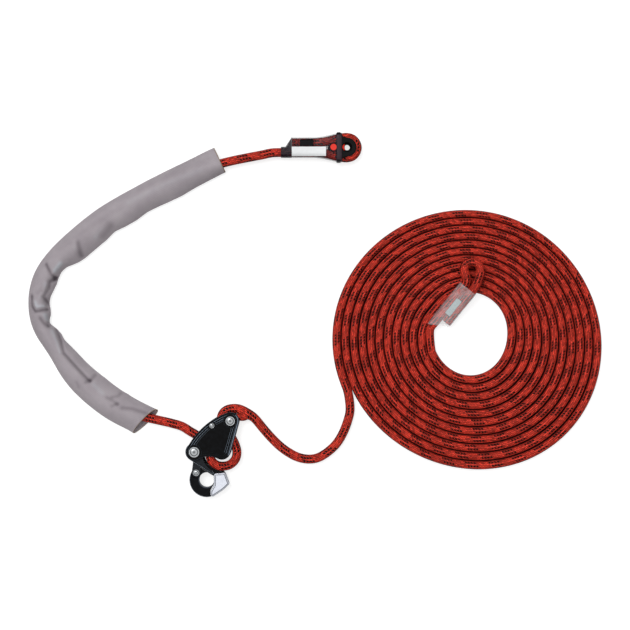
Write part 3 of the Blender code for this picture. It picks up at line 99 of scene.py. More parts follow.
# puts points, faces and texture places into a mesh object: faces and their places come as blocks of equal
# corners
def meshObject(name, points, faceBlocks, uvBlocks=None, material=None, smooth=True):
    mesh = bpy.data.meshes.new(name)
    corners = np.concatenate([block.reshape(-1) for block in faceBlocks]).astype(np.int32)
    totals = np.concatenate([np.full(len(block), block.shape[1]) for block in faceBlocks]).astype(np.int32)
    mesh.vertices.add(len(points))
    mesh.vertices.foreach_set("co", np.asarray(points, np.float32).reshape(-1))
    mesh.loops.add(len(corners))
    mesh.loops.foreach_set("vertex_index", corners)
    mesh.polygons.add(len(totals))
    mesh.polygons.foreach_set("loop_start", np.concatenate([[0], np.cumsum(totals)[:-1]]).astype(np.int32))
    mesh.polygons.foreach_set("loop_total", totals)
    mesh.polygons.foreach_set("use_smooth", np.full(len(totals), smooth))
    if uvBlocks is not None:
        layer = mesh.uv_layers.new(name="surface")
        uvPlaces = np.concatenate([block.reshape(-1, 2) for block in uvBlocks])
        layer.data.foreach_set("uv", uvPlaces.astype(np.float32).reshape(-1))
    mesh.update()
    mesh.validate()
    piece = bpy.data.objects.new(name, mesh)
    bpy.context.scene.collection.objects.link(piece)
    if material:
        mesh.materials.append(material)
    return piece


# a grid of points, rows by columns, as quads between neighbours; columns or rows close into rings on request,
# and capped rings get a fan of triangles to their middle. A closed skin whose volume comes out negative is
# turned over
def gridObject(name, grid, closeRows=False, closeColumns=True, caps=False, uv=None, material=None, smooth=True):
    rows, columns = grid.shape[:2]
    index = np.arange(rows * columns).reshape(rows, columns)
    if closeColumns:
        index = np.hstack([index, index[:, :1]])
    if closeRows:
        index = np.vstack([index, index[:1]])
    quads = np.stack([index[:-1, :-1], index[1:, :-1], index[1:, 1:], index[:-1, 1:]], -1).reshape(-1, 4)
    points = grid.reshape(-1, 3)
    faceBlocks, uvBlocks = [quads], None
    if uv is not None:
        place = np.arange(uv.shape[0] * uv.shape[1]).reshape(uv.shape[:2])
        flatUv = uv.reshape(-1, 2)
        ring = np.stack([place[:-1, :-1], place[1:, :-1], place[1:, 1:], place[:-1, 1:]], -1).reshape(-1, 4)
        uvBlocks = [flatUv[ring]]
    if caps:
        middles = len(points) + np.arange(2)
        points = np.vstack([points, grid[0].mean(axis=0), grid[-1].mean(axis=0)])
        first = np.stack([index[0, 1:], np.full(columns, middles[0]), index[0, :-1]], -1)
        last = np.stack([index[-1, :-1], np.full(columns, middles[1]), index[-1, 1:]], -1)
        faceBlocks += [first, last]
        if uv is not None:
            uvBlocks += [np.repeat(uv[:1, :1].reshape(1, 1, 2), columns * 3, 0).reshape(-1, 3, 2)] * 2
    if caps or (closeRows and closeColumns):
        corners = [
            [points[block[:, corner]] for corner in (0, side, side + 1)]
            for block in faceBlocks for side in range(1, block.shape[1] - 1)
        ]
        volume = sum(np.einsum("ij,ij->", start, np.cross(left, right)) for start, left, right in corners)
        if volume < 0:
            faceBlocks = [block[:, ::-1] for block in faceBlocks]
            uvBlocks = None if uvBlocks is None else [block[:, ::-1] for block in uvBlocks]
    return meshObject(name, points, faceBlocks, uvBlocks, material, smooth)


# stores one value a point under this name
def giveAttribute(piece, name, values):
    layer = piece.data.attributes.new(name, "FLOAT", "POINT")
    layer.data.foreach_set("value", np.asarray(values, np.float32).reshape(-1))


# one smooth curve through all the places (Catmull-Rom with knots as far apart as the root of each distance,
# so that it doesn't swing wide where short steps meet long ones), then read again at even distances
def smoothPath(places, step):
    places = np.asarray(places, float)
    places = np.vstack([2 * places[0] - places[1], places, 2 * places[-1] - places[-2]])
    knots = np.concatenate([[0.0], np.cumsum(np.linalg.norm(np.diff(places[:, :3], axis=0), axis=1) ** 0.5)])
    a, b, c, d = (places[i:len(places) - 3 + i, None] for i in range(4))
    ta, tb, tc, td = (knots[i:len(places) - 3 + i, None, None] for i in range(4))
    t = tb + (tc - tb) * np.linspace(0, 1, 16, endpoint=False)[None, :, None]
    ab = ((tb - t) * a + (t - ta) * b) / (tb - ta)
    bc = ((tc - t) * b + (t - tb) * c) / (tc - tb)
    cd = ((td - t) * c + (t - tc) * d) / (td - tc)
    early = ((tc - t) * ab + (t - ta) * bc) / (tc - ta)
    late = ((td - t) * bc + (t - tb) * cd) / (td - tb)
    fine = ((tc - t) * early + (t - tb) * late) / (tc - tb)
    return evenPath(np.vstack([fine.reshape(-1, places.shape[1]), places[-2:-1]]), step)


# places at even distances along a line, as far apart as the step or a little less, with the distance of each
def evenPath(line, step):
    runs = np.concatenate([[0.0], np.cumsum(np.linalg.norm(np.diff(line[:, :3], axis=0), axis=1))])
    marks = np.linspace(0, runs[-1], max(2, math.ceil(runs[-1] / step) + 1))
    return np.column_stack([np.interp(marks, runs, line[:, axis]) for axis in range(line.shape[1])]), marks


# headings along a line, and for each the level side direction and the one square to both
def pathFrames(line):
    ahead = np.gradient(line, axis=0)
    ahead /= np.linalg.norm(ahead, axis=1)[:, None]
    side = np.cross(ahead, [0.0, 0.0, 1.0])
    side /= np.linalg.norm(side, axis=1)[:, None]
    return ahead, side, np.cross(side, ahead)


# rises from 0 to 1 with level ends: three squares less two cubes
def smoothStep(share):
    share = np.clip(share, 0, 1)
    return share ** 2 * (3 - 2 * share)


# camera, light and floor: the photograph looks straight down on the laid out lanyard
studio = {
    "middle": (0.12827, 0.15875), "cameraHeight": 1.897, "lens": 85.0,
    "skyLow": 0.08, "skyRise": 1.25, "sunLight": 1.5, "sunTilt": (-0.40, -0.36, 0.0), "sunSoftness": 0.6,
    "floorSize": 3.0, "floorDrop": 0.0002, "floor": "#B0B0B0", "floorGlow": 0.72,
}


# straight above the middle, looking down
def makeCamera():
    camera = bpy.data.objects.new("camera", bpy.data.cameras.new("camera"))
    camera.data.lens = studio["lens"]
    camera.data.sensor_width = 36.0
    camera.data.clip_start = 0.05
    camera.location = (*studio["middle"], studio["cameraHeight"])
    bpy.context.scene.collection.objects.link(camera)
    bpy.context.scene.camera = camera


# the world is an overhead softbox, brightest straight up and falling off with the cube of the height, and a
# soft sun comes from the upper left, so that the sum on a level face is about one
def makeLights():
    world = bpy.data.worlds.new("studio")
    bpy.context.scene.world = world
    world.use_nodes = True
    tree = world.node_tree
    tree.nodes.clear()
    path = addNode(tree, "LightPath", give=None)
    height = addNode(tree, "SeparateXYZ", (addNode(tree, "TexCoord", give="Generated"),), give=2)
    height = addNode(tree, "Math POWER", (addNode(tree, "Math MAXIMUM", (height, 0.0)), 3.0))
    sky = addNode(tree, "Math MULTIPLY_ADD", (height, studio["skyRise"], studio["skyLow"]))
    seen = addNode(tree, "Math MAXIMUM", (path.outputs["Is Camera Ray"], sky))
    background = addNode(tree, "Background", {"Color": (1, 1, 1, 1), "Strength": seen})
    addNode(tree, "OutputWorld", (background,), give=None)
    sun = bpy.data.objects.new("sun", bpy.data.lights.new("sun", "SUN"))
    sun.data.energy = studio["sunLight"]
    sun.data.angle = studio["sunSoftness"]
    sun.rotation_euler = studio["sunTilt"]
    bpy.context.scene.collection.objects.link(sun)


# matt white paper: a camera ray sees a little glow on top of its diffuse white, and the soft shadow stays
def makeFloor():
    material, tree = newMaterial("white_paper")
    path = addNode(tree, "LightPath", give=None)
    seen = addNode(tree, "Math MAXIMUM", (path.outputs["Is Camera Ray"], path.outputs["Is Glossy Ray"]))
    seen = addNode(tree, "Math MAXIMUM", (seen, path.outputs["Is Transmission Ray"]))
    glow = addNode(tree, "Math MULTIPLY", (seen, studio["floorGlow"]))
    finishMaterial(material, {
        "Base Color": linear(studio["floor"]), "Roughness": 0.9, "Specular IOR Level": 0.0,
        "Emission Color": (1, 1, 1, 1), "Emission Strength": glow,
    })
    half = studio["floorSize"]
    x, y = np.meshgrid([half, -half], [-half, half])
    corners = np.dstack([x, y, 0 * x - studio["floorDrop"]]) + (*studio["middle"], 0)
    floor = gridObject("floor", corners, closeColumns=False, material=material, smooth=False)


bpy.context.scene.view_settings.view_transform = "Standard"
makeCamera()
makeLights()
makeFloor()
print("camera, lights and floor")

# rope: one continuous kernmantle rope from its sewn end at the thimble to the sewn eye inside the coil
rope = {
    "diameter": 0.0115, "ringStep": 0.0026, "sides": 28,
    "strandsEachWay": 16, "lay": 0.0305, "stitchHeights": (0.08, 0.62), "shades": (0.45, 1.15),
    "red": "#FF4A36", "valleyShadeRed": "#3A0606", "black": "#040203", "paintedSideShade": "#100305", "bump": 0.0004,
    # how many strands the black yarns spread over, and by how much of a strand each is wider on both sides;
    # painted shade on the rope's sides, darkest where turns of the coil touch: from this share of the half
    # width, over this one, and the least and the added darkness
    "tracerReach": 7.2, "tracerWider": 0.35, "sideShadeFrom": 0.60, "sideShadeOver": 0.32, "sideShadeDark": (0.20, 0.80),
    "kink": (0.0400, 0.0358), "kinkBulge": 0.0028, "kinkReach": 0.0075,
    "fold": {
        "start": (0.0262, 0.0300, 0.0093), "end": (0.0446, 0.0290, 0.0093), "radius": 0.0052, "rings": 22,
        "tip": 0.06,
    },
    # places that the rope's middle line goes through, from the sewn end on; the coil lies between tail and end
    # eye
    "thimbleTurn": [
        (0.0991, 0.3771, 0.0084), (0.1100, 0.3771, 0.0084), (0.1240, 0.3772, 0.0084), (0.1312, 0.3774, 0.0084),
        (0.1384, 0.3781, 0.0084), (0.1454, 0.3794, 0.0084), (0.1524, 0.3813, 0.0084), (0.1590, 0.3829, 0.0084),
        (0.1640, 0.3839, 0.0084), (0.1689, 0.38415, 0.0084), (0.1754, 0.3824, 0.0084),
        (0.1801, 0.37765, 0.0084), (0.1819, 0.3712, 0.0084), (0.1801, 0.36475, 0.0084),
        (0.1754, 0.3600, 0.0084), (0.1689, 0.35825, 0.0084), (0.1640, 0.3585, 0.0084),
        (0.1590, 0.3595, 0.0084), (0.1524, 0.3611, 0.0084), (0.1454, 0.3630, 0.0084),
        (0.1384, 0.3643, 0.0084), (0.1312, 0.3650, 0.0084), (0.1240, 0.3652, 0.0084),
        (0.1150, 0.3653, 0.0084), (0.1060, 0.3653, 0.0084),
    ],
    "lead": [
        (0.0847, 0.3650, 0.0084), (0.0732, 0.36454, 0.0084), (0.0610, 0.3620, 0.0081),
        (0.0419, 0.3584, 0.0078), (0.0229, 0.3545, 0.0078), (0.0083, 0.3508, 0.0078),
        (-0.0127, 0.3441, 0.0078), (-0.0343, 0.3354, 0.0078), (-0.0749, 0.3165, 0.0078),
        (-0.1118, 0.2953, 0.0078), (-0.1441, 0.2750, 0.0078), (-0.1734, 0.2515, 0.0078),
        (-0.1981, 0.2286, 0.0078), (-0.2134, 0.2057, 0.0078), (-0.2212, 0.1810, 0.0078),
        (-0.2203, 0.1575, 0.0078), (-0.2108, 0.1340, 0.0078), (-0.1949, 0.1092, 0.0078),
        (-0.1734, 0.0825, 0.0078), (-0.1473, 0.0584, 0.0078), (-0.1200, 0.0403, 0.0078),
        (-0.0902, 0.0298, 0.0078), (-0.0686, 0.0248, 0.0081), (-0.0533, 0.0213, 0.0086),
        (-0.0402, 0.0173, 0.0093),
    ],
    "gripLoop": [
        (-0.0304, 0.0113, 0.0093), (-0.0206, 0.0053, 0.0093), (-0.0123, -0.0029, 0.0093),
        (-0.0069, -0.0118, 0.0093), (-0.0051, -0.0203, 0.0093), (-0.0022, -0.0271, 0.0093),
        (0.0038, -0.0318, 0.0093), (0.0119, -0.0331, 0.0093), (0.0203, -0.0311, 0.0093),
        (0.0271, -0.0246, 0.0093), (0.0292, -0.0156, 0.0093), (0.0274, -0.0070, 0.0093),
        (0.0226, 0.0032, 0.0093), (0.0168, 0.0122, 0.0093), (0.0104, 0.0202, 0.0093),
        (0.0092, 0.0273, 0.0093), (0.0113, 0.0338, 0.0093), (0.0161, 0.0382, 0.0093),
        (0.0235, 0.0401, 0.0093), (0.0318, 0.0396, 0.0093),
    ],
    "tail": [
        (0.0412, 0.0353, 0.0093), (0.0506, 0.0287, 0.0088), (0.0625, 0.0145, 0.0072),
        (0.0730, 0.0025, 0.0062), (0.0838, -0.0080, 0.0058), (0.0940, -0.0155, 0.0058),
        (0.1067, -0.0220, 0.0058), (0.1207, -0.0245, 0.0058), (0.1321, -0.0226, 0.0058),
        (0.1435, -0.0160, 0.0058), (0.1549, -0.0056, 0.0058), (0.1638, 0.0086, 0.0058),
        (0.1702, 0.0254, 0.0058), (0.1728, 0.0380, 0.0058),
    ],
    "endEye": [
        (0.2741, 0.1398, 0.0062), (0.2760, 0.1444, 0.0070), (0.2808, 0.1501, 0.0082), (0.2932, 0.1658, 0.0122),
        (0.3056, 0.1814, 0.0163), (0.3180, 0.1971, 0.0203), (0.3192, 0.2040, 0.0204), (0.3179, 0.2105, 0.0200),
        (0.3163, 0.2168, 0.0196), (0.3186, 0.2226, 0.0192), (0.3249, 0.2255, 0.0190), (0.3322, 0.2240, 0.0191),
        (0.3367, 0.2184, 0.0195), (0.3365, 0.2105, 0.0199), (0.3332, 0.2010, 0.0203),
        (0.3272, 0.1898, 0.0203), (0.3148, 0.1741, 0.0163), (0.3024, 0.1585, 0.0122), (0.2950, 0.1490, 0.0098),
    ],
}
coil = {
    "middle": (0.3241, 0.1295), "radius": 0.16682, "pitch": 0.01039, "turns": 11.0,
    "startAngle": math.radians(200),
    # how far it strays from an even spiral: a cosine and a sine wave, once, twice and three times round
    "radiusWaves": ((0.00088, -0.00499), (0.00174, -0.00342), (-0.00108, -0.00053)),
    "pitchWaves": ((0.00021, -0.00074), (0.00028, -0.00030), (-0.00005, -0.00007)),
    "tuck": 0.0008, "tuckTurns": 0.2,
    # it lies looser on the left: direction, reach and size of each slack part, and over how many turns it
    # grows up to its full size at the slack turn; it starts over the first turns, and fades out from one turn
    # over a share of one
    "slack": [
        (math.radians(137), math.radians(27), 0.0056, 3.6), (math.radians(176), math.radians(36), 0.0022, 8.0),
    ],
    "slackTurn": 10.2, "slackStart": 4, "slackFade": (10.55, 0.4),
    "stepsPerTurn": 96, "halfHeight": 0.00575, "halfWidthShare": 0.53,
    # the rope is pressed, from this share on, over this share of a turn; turns touch from one turn on
    "pressShare": 0.25, "pressTurns": 0.12, "touchTurn": 0.93,
}


# a cosine and a sine wave of these sizes, once, twice and three times round
def waves(sizes, angle):
    return sum(a * np.cos(n * angle) + b * np.sin(n * angle) for n, (a, b) in enumerate(sizes, 1))


# flat spiral: the distance from the middle falls by one pitch a turn, both swell with the direction as the
# waves say, and each slack part, a bell curve of the direction that grows inwards, draws the turns in; also
# gives how wide the rope is pressed there: a share of the local pitch, and what the slack leaves free
def coilLine():
    turns = np.linspace(0, coil["turns"], round(coil["turns"] * coil["stepsPerTurn"]) + 1)
    angle = coil["startAngle"] - 2 * math.pi * turns
    pitch = coil["pitch"] + waves(coil["pitchWaves"], angle)
    tuck = smoothStep(1 - (coil["turns"] - turns) / coil["tuckTurns"])
    slack, swell = np.zeros(len(turns)), np.zeros(len(turns))
    fadeTurn, fadeReach = coil["slackFade"]
    for place, reach, size, growth in coil["slack"]:
        away = (angle - place + math.pi) % (2 * math.pi) - math.pi
        part = size * np.exp(-(away / reach) ** 2 - (coil["slackTurn"] - turns) / growth)
        part *= smoothStep(turns / coil["slackStart"]) * (1 - smoothStep((turns - fadeTurn) / fadeReach))
        slack += part
        swell += part / growth / 2
    radius = coil["radius"] + waves(coil["radiusWaves"], angle) - pitch * turns - coil["tuck"] * tuck - slack
    x, y = coil["middle"]
    height = np.full(len(turns), coil["halfHeight"])
    line = np.column_stack([x + radius * np.cos(angle), y + radius * np.sin(angle), height])
    return line, np.minimum(pitch * coil["halfWidthShare"] + swell, rope["diameter"] / 2), turns


# the rope's whole line with its half width, and how far its outer and its inner side touch the next turn; it
# is round where it is free and pressed where turns touch
def ropeLine():
    half = rope["diameter"] / 2
    turnLine, pressed, turns = coilLine()
    fromEnd = coil["turns"] - turns
    press = smoothStep(np.minimum(turns, fromEnd) / coil["pressTurns"] + coil["pressShare"])
    pressed = half + (pressed - half) * press
    touch = (smoothStep((distance - coil["touchTurn"]) / coil["pressTurns"]) for distance in (turns, fromEnd))
    before = np.array(rope["thimbleTurn"] + rope["lead"] + rope["gripLoop"] + rope["tail"])
    ahead = turnLine[1] - turnLine[0]
    before = np.vstack([before, turnLine[0] - ahead / np.linalg.norm(ahead) * rope["diameter"]])
    after = np.array(rope["endEye"])
    places = np.vstack([before, turnLine, after])
    width = np.concatenate([np.full(len(before), half), pressed, np.full(len(after), half)])
    outer, inner = (np.concatenate([np.zeros(len(before)), part, np.zeros(len(after))]) for part in touch)
    line, marks = smoothPath(np.column_stack([places, width, outer, inner]), rope["ringStep"])
    return line[:, :3], marks, line[:, 3], np.clip(line[:, 4:], 0, 1)


# braided polyester sheath over a core: two sets of flat strands wind round it both ways, over two and under
# two, so the eye sees columns of short slanting stitches; some strands of one set are black and show as bands
# of dashes
def ropeMaterial():
    material, tree = newMaterial("braided_polyester")
    count, wider = rope["strandsEachWay"], rope["tracerWider"]
    uv = addNode(tree, "SeparateXYZ", (addNode(tree, "UVMap", uv_map="surface"),), give=None)
    turn = addNode(tree, "Math MULTIPLY", (uv.outputs[0], 1 / rope["lay"]))
    # which strand of each set passes here, with its share across
    first, other = (
        addNode(tree, "Math MULTIPLY", (addNode(tree, "Math " + way, (uv.outputs[1], turn)), count))
        for way in ("ADD", "SUBTRACT")
    )
    firstWhole, otherWhole = (addNode(tree, "Math FLOOR", (strand,)) for strand in (first, other))
    # a repeat has four cells, and in two of them the first set lies on top; runs go along each visible stitch
    cell, firstRun, otherRun = (
        addNode(tree, "Math FLOORED_MODULO", (addNode(tree, "Math ADD", pair), 4.0))
        for pair in ((firstWhole, otherWhole), (other, firstWhole), (first, otherWhole))
    )
    firstOnTop = addNode(tree, "Math LESS_THAN", (cell, 1.5))
    otherRun = addNode(tree, "Math SUBTRACT", (otherRun, 2.0))
    run = addNode(tree, "Mix", {0: firstOnTop, 2: otherRun, 3: firstRun})
    firstAcross, otherAcross = (addNode(tree, "Math FRACT", (strand,)) for strand in (first, other))
    across = addNode(tree, "Mix", {0: firstOnTop, 2: otherAcross, 3: firstAcross})
    # the stitch's height: a rounded ridge across, falling quickly at both ends
    ridge, ends = (
        addNode(tree, "Math SINE", (addNode(tree, "Math MULTIPLY", (share, reach)),))
        for share, reach in ((across, math.pi), (run, math.pi / 2))
    )
    height = addNode(tree, "Math MULTIPLY", (ridge, ends))
    low, high = rope["stitchHeights"]
    height = {"Value": height, "From Min": low, "From Max": high}
    height = addNode(tree, "MapRange", height, interpolation_type="SMOOTHSTEP")
    # the black yarns: every second strand among the first ones of a set, a little wider than a red one
    strand = addNode(tree, "Math ADD", (first, wider))
    strand = addNode(tree, "Math FLOORED_MODULO", (strand, float(count)))
    tracer = addNode(tree, "Math LESS_THAN", (strand, rope["tracerReach"]))
    second = addNode(tree, "Math FLOORED_MODULO", (strand, 2.0))
    second = addNode(tree, "Math LESS_THAN", (second, 1 + 2 * wider))
    tracer = addNode(tree, "Math MULTIPLY", (tracer, second))
    tracer = addNode(tree, "Math MULTIPLY", (tracer, firstOnTop))
    # each stitch catches the light a little differently
    stitch = addNode(tree, "CombineXYZ", (firstWhole, otherWhole, firstOnTop))
    stitch = addNode(tree, "VectorMath MULTIPLY", (stitch, (0.5, 0.25, 1.0)))
    shade = addNode(tree, "TexWhiteNoise", {"Vector": addNode(tree, "VectorMath FLOOR", (stitch,))})
    darkest, lightest = rope["shades"]
    shade = addNode(tree, "MapRange", {"Value": shade, "To Min": darkest, "To Max": lightest})
    # painted shade: the valleys between stitches take the near black deep red, the stitch tops the bright red
    red = layered(tree, rope["valleyShadeRed"], (height, rope["red"]))
    red = addNode(tree, "Mix", {0: 1.0, 6: red, 7: shade}, give=2, data_type="RGBA", blend_type="MULTIPLY")
    # painted shade: the rope's sides go dark, a little everywhere and most where turns of the coil touch, where
    # no light gets in
    colour = layered(tree, red, (tracer, rope["black"]), ("paintedSideShade", rope["paintedSideShade"]))
    bump = addNode(tree, "Bump", {"Strength": 0.6, "Distance": rope["bump"], "Height": height})
    return finishMaterial(material, {
        "Base Color": colour, "Roughness": 0.6, "IOR": 1.52, "Specular IOR Level": 0.12, "Normal": bump,
    })


# a tube: at each place of the line a ring, half width along the side direction and half height along the
# other; where the rope leaves the adjuster it is bent hard, and its sheath bulges on the inner side (a bell
# curve along the rope)
def makeRope():
    line, marks, halfWidth, touch = ropeLine()
    _, side, up = pathFrames(line)
    turn = np.linspace(0, 2 * math.pi, rope["sides"], endpoint=False)[None, :, None]
    away = marks - marks[np.argmin(np.linalg.norm(line[:, :2] - rope["kink"], axis=1))]
    bulge = rope["kinkBulge"] * np.exp(-(away / rope["kinkReach"]) ** 2)[:, None, None]
    across = np.cos(turn) * halfWidth[:, None, None] + bulge * np.clip(np.cos(turn), 0, 1)
    grid = line[:, None] + side[:, None] * across + up[:, None] * np.sin(turn) * rope["diameter"] / 2
    uv = np.stack(np.meshgrid(marks, np.linspace(0, 1, rope["sides"] + 1), indexing="ij"), -1)
    piece = gridObject("braided_rope", grid, caps=True, uv=uv, material=ropeMaterial())
    # painted shade: a little on both sides of the rope, more on a side that touches the next turn
    side = np.cos(turn[..., 0])
    least, added = rope["sideShadeDark"]
    reach = np.where(side < 0, touch[:, :1], touch[:, 1:]) * added + least
    paintedSideShade = reach * smoothStep((np.abs(side) - rope["sideShadeFrom"]) / rope["sideShadeOver"])
    giveAttribute(piece, "paintedSideShade", np.concatenate([paintedSideShade.reshape(-1), paintedSideShade[[0, -1]].mean(axis=1)]))
    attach(piece, "lanyard")
    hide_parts("rope_lead", "rope_grip_loop", "rope_tail", "rope_coil", "rope_eye", "end_eye")
    print(f"rope: {marks[-1]:.3f} m, {len(line)} rings")


# where the tail bends hard out of the adjuster its sheath folds up on the inner side: a lump between two
# ends, round in section, whose radius swells and falls with the root of a parabola; its skin carries the same
# braid
def makeSheathFold():
    fold = rope["fold"]
    start, end = np.array(fold["start"]), np.array(fold["end"])
    share = (1 - np.cos(np.linspace(fold["tip"], math.pi - fold["tip"], fold["rings"]))) / 2
    radius = fold["radius"] * np.sqrt(4 * share * (1 - share))
    line = start + share[:, None] * (end - start)
    _, side, up = pathFrames(line)
    turn = np.linspace(0, 2 * math.pi, rope["sides"], endpoint=False)[None, :, None]
    grid = line[:, None] + (side[:, None] * np.cos(turn) + up[:, None] * np.sin(turn)) * radius[:, None, None]
    around = np.linspace(0, 1, rope["sides"] + 1)
    uv = np.stack(np.meshgrid(share * np.linalg.norm(end - start), around, indexing="ij"), -1)
    piece = gridObject("sheath_fold", grid, caps=True, uv=uv, material=bpy.data.materials["braided_polyester"])
    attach(piece, "lanyard")


makeRope()
makeSheathFold()

# protective sleeve: a wide woven tube that has been pressed flat and slides on the rope
sleeve = {
    "wall": 0.0007, "play": 0.00115, "edgeDrop": 0.0048, "slants": (-0.167, 0.60), "slantReach": 0.050,
    "step": 0.0016, "sides": 84, "flatWidth": 0.080, "smoothing": 0.0020, "mouth": (0.0009, 0.0042),
    "cutWidth": 0.0011,
    # in mm: distance along the rope, and how far the edges reach past the rope's sides, inside and outside
    # the bend
    "edges": [
        (76.5, 6, 16.6), (90, 8.5, 14.9), (105, 10.7, 12.9), (120, 12.1, 11.9), (140, 14.6, 11.2),
        (160, 14.6, 10.7), (180, 13.4, 10.8), (190, 12.9, 11), (208, 14.8, 11.7), (225, 14.3, 12),
        (239, 12.7, 12), (256, 15.5, 11.7), (275, 15.8, 11.6), (293, 15.8, 11.5), (302, 14.6, 11.1),
        (311, 11.8, 10.8), (320, 8.2, 10.6), (330, 6.8, 10.7), (340, 8.2, 10.9), (350, 9.5, 10.8),
        (360, 8.8, 10.2), (370, 7.2, 9.4), (380, 6.7, 8.8), (390, 7.9, 8.6), (399, 7, 8.7), (405, 3.8, 8.8),
        (410, 2.2, 8.9), (415, 4.2, 8.8), (421, 7.2, 8.5), (430, 9.1, 7.5), (440, 8.3, 7.2), (450, 10.1, 7.7),
        (460, 11.6, 9), (470, 12.5, 10.5), (480, 13, 11.6), (495, 14.1, 12.8), (515, 15.5, 13.2),
        (540, 15.2, 13.7), (555, 15, 14.1), (570, 12.2, 15.2), (582, 9.6, 16.6), (593, 7, 18),
    ],
    # folds on its upper side, in mm: how much each rises, how wide it is, and the places that its line goes
    # through
    "folds": [
        (-1.9, 1.6, -212.2, 222.8, -205.2, 210.7, -201, 205.1), (1, 2, -203.7, 212.1, -194.1, 223.8),
        (-1.9, 1.7, -200.5, 205.1, -208, 200.4, -209, 193.8, -215.5, 181.7, -210.4, 173.2),
        (0.8, 2.2, -211.5, 198.1, -212.2, 190.5, -217.7, 181.7),
        (-2, 1.6, -231, 182.6, -230, 169.5, -225.8, 163.4, -218.3, 164.8, -211.8, 165.4),
        (0.9, 2.4, -227.3, 175.3, -222.9, 168.7, -215.9, 169.4),
        (-1.6, 1.8, -219.3, 154.6, -214.9, 148.6, -209.9, 144.8), (0.8, 2.4, -214.1, 158.8, -211.8, 151.8),
        (-0.7, 1.8, -223, 186.3, -217.4, 189.2),
        (-1.7, 1.5, -200.2, 140.5, -197.7, 134.6, -194.1, 125.2, -189.7, 110.6, -178.1, 97.5, -160.7, 78.6,
         -156.3, 75.1),
        (0.7, 2, -204.3, 138.7, -198.6, 127.6, -193.7, 112.4),
        (-1.2, 1.7, -161.4, 73.5, -156.3, 75.1, -150.5, 82.3), (0.5, 2, -153.4, 72.9, -140.3, 59.8),
        (-0.8, 1.8, -173.7, 72.9, -171.6, 67.1), (-1, 1.6, -134.5, 54, -125.7, 48.9, -121.4, 45.2),
        (-0.9, 1.5, -128.7, 43.1, -121.4, 46.7), (-1.2, 1.9, -115.6, 40.9, -102.5, 40.1, -85.1, 34.3),
        (-1, 1.7, -117.1, 59.8, -121.4, 56.1, -128.3, 54.6),
        (-1.6, 2.6, -172.1, 249.8, -170.2, 241.3, -168.1, 234.1), (0.8, 2, -174.9, 251.7, -174, 241.9),
        (-0.9, 3, -140.6, 259, -130.2, 272), (0.5, 2.6, -148.6, 257.8, -138.4, 268.6),
        (-0.5, 3.2, -195.6, 241.3, -170.2, 260.4, -143.5, 278.8, -116.8, 295.3),
        (0.3, 3, -109.2, 300.4, -68.6, 321.3, -17.8, 342.3), (-0.4, 3, -94, 317.5, -49.5, 339.1, -7.6, 355.6),
    ],
    # how deep a fold's painted shade is darkest and how high its painted highlight is lightest, each with the
    # power that it follows
    "foldDark": (0.0024, 1.3), "foldLit": (0.0014, 1.6), "ropeShows": 0.0004,
    "foldWider": 1.6, "grey": "#AEA6AB", "shade": "#958D93", "fold": "#544C52", "paintedFoldHighlight": "#C3CAD1",
    "cutEdge": "#8C7350", "threadMm": 1.3,
}


# woven polyester tube, flattened: fine ribs along it and a slightly uneven mauve grey in clouds of 26 mm, with
# painted shade between the threads; the threads are drawn coarser than real, so that they show; the folds get
# painted shade in their valleys and a painted highlight on their crests; the cut ends are heat sealed
def sleeveMaterial():
    material, tree = newMaterial("woven_polyester_sleeve")
    uv = addNode(tree, "SeparateXYZ", (addNode(tree, "UVMap", uv_map="surface"),), give=None)
    threads = []
    for axis, share in ((1, 1.0), (0, 0.8)):
        wave = addNode(tree, "Math MULTIPLY", (uv.outputs[axis], 1000 / sleeve["threadMm"] * math.pi * share))
        threads.append(addNode(tree, "Math ABSOLUTE", (addNode(tree, "Math SINE", (wave,)),)))
    weave = addNode(tree, "Math MULTIPLY", threads)
    place = addNode(tree, "TexCoord", give="Object")
    cloud = addNode(tree, "TexNoise", {"Vector": place, "Scale": 38.0, "Detail": 4.0, "Roughness": 0.6})
    cloud = addNode(tree, "MapRange", {"Value": cloud, "From Min": 0.3, "From Max": 0.72, "To Max": 0.55})
    # painted shade: the grey goes darker between the threads
    between = addNode(tree, "MapRange", {"Value": weave, "To Min": 0.35, "To Max": 0.0})
    # random clouds, then painted shade in the folds' valleys and a painted highlight on their crests
    colour = layered(
        tree, sleeve["grey"], (addNode(tree, "Math ADD", (cloud, between)), sleeve["shade"]),
        ("fold", sleeve["fold"]), ("paintedFoldHighlight", sleeve["paintedFoldHighlight"]), ("cutEnd", sleeve["cutEdge"]),
    )
    bump = addNode(tree, "Bump", {"Strength": 0.5, "Distance": 0.0003, "Height": weave})
    return finishMaterial(material, {
        "Base Color": colour, "Roughness": 0.75, "IOR": 1.5, "Specular IOR Level": 0.25, "Normal": bump,
        "Sheen Weight": 0.2, "Sheen Roughness": 0.4,
    })


# what the folds add to the height at these places: for each fold a bell curve of the distance to its line;
# then how much painted shade the valleys get and how much painted highlight the crests
def foldRise(flat):
    rise = np.zeros(flat.shape[:2])
    for fold in sleeve["folds"]:
        size, width, *line = np.array(fold) / 1000
        line = np.reshape(line, (-1, 2))
        start, run = line[:-1], np.diff(line, axis=0)
        offset = flat[:, :, None] - start
        share = np.clip((offset * run).sum(-1) / (run ** 2).sum(-1), 0, 1)
        distance = np.linalg.norm(offset - share[..., None] * run, axis=-1).min(-1)
        rise += size * np.exp(-(distance / width / sleeve["foldWider"]) ** 2)
    looks = ((-rise, *sleeve["foldDark"]), (rise, *sleeve["foldLit"]))
    return rise, *(np.clip(part / full, 0, 1) ** power for part, full, power in looks)


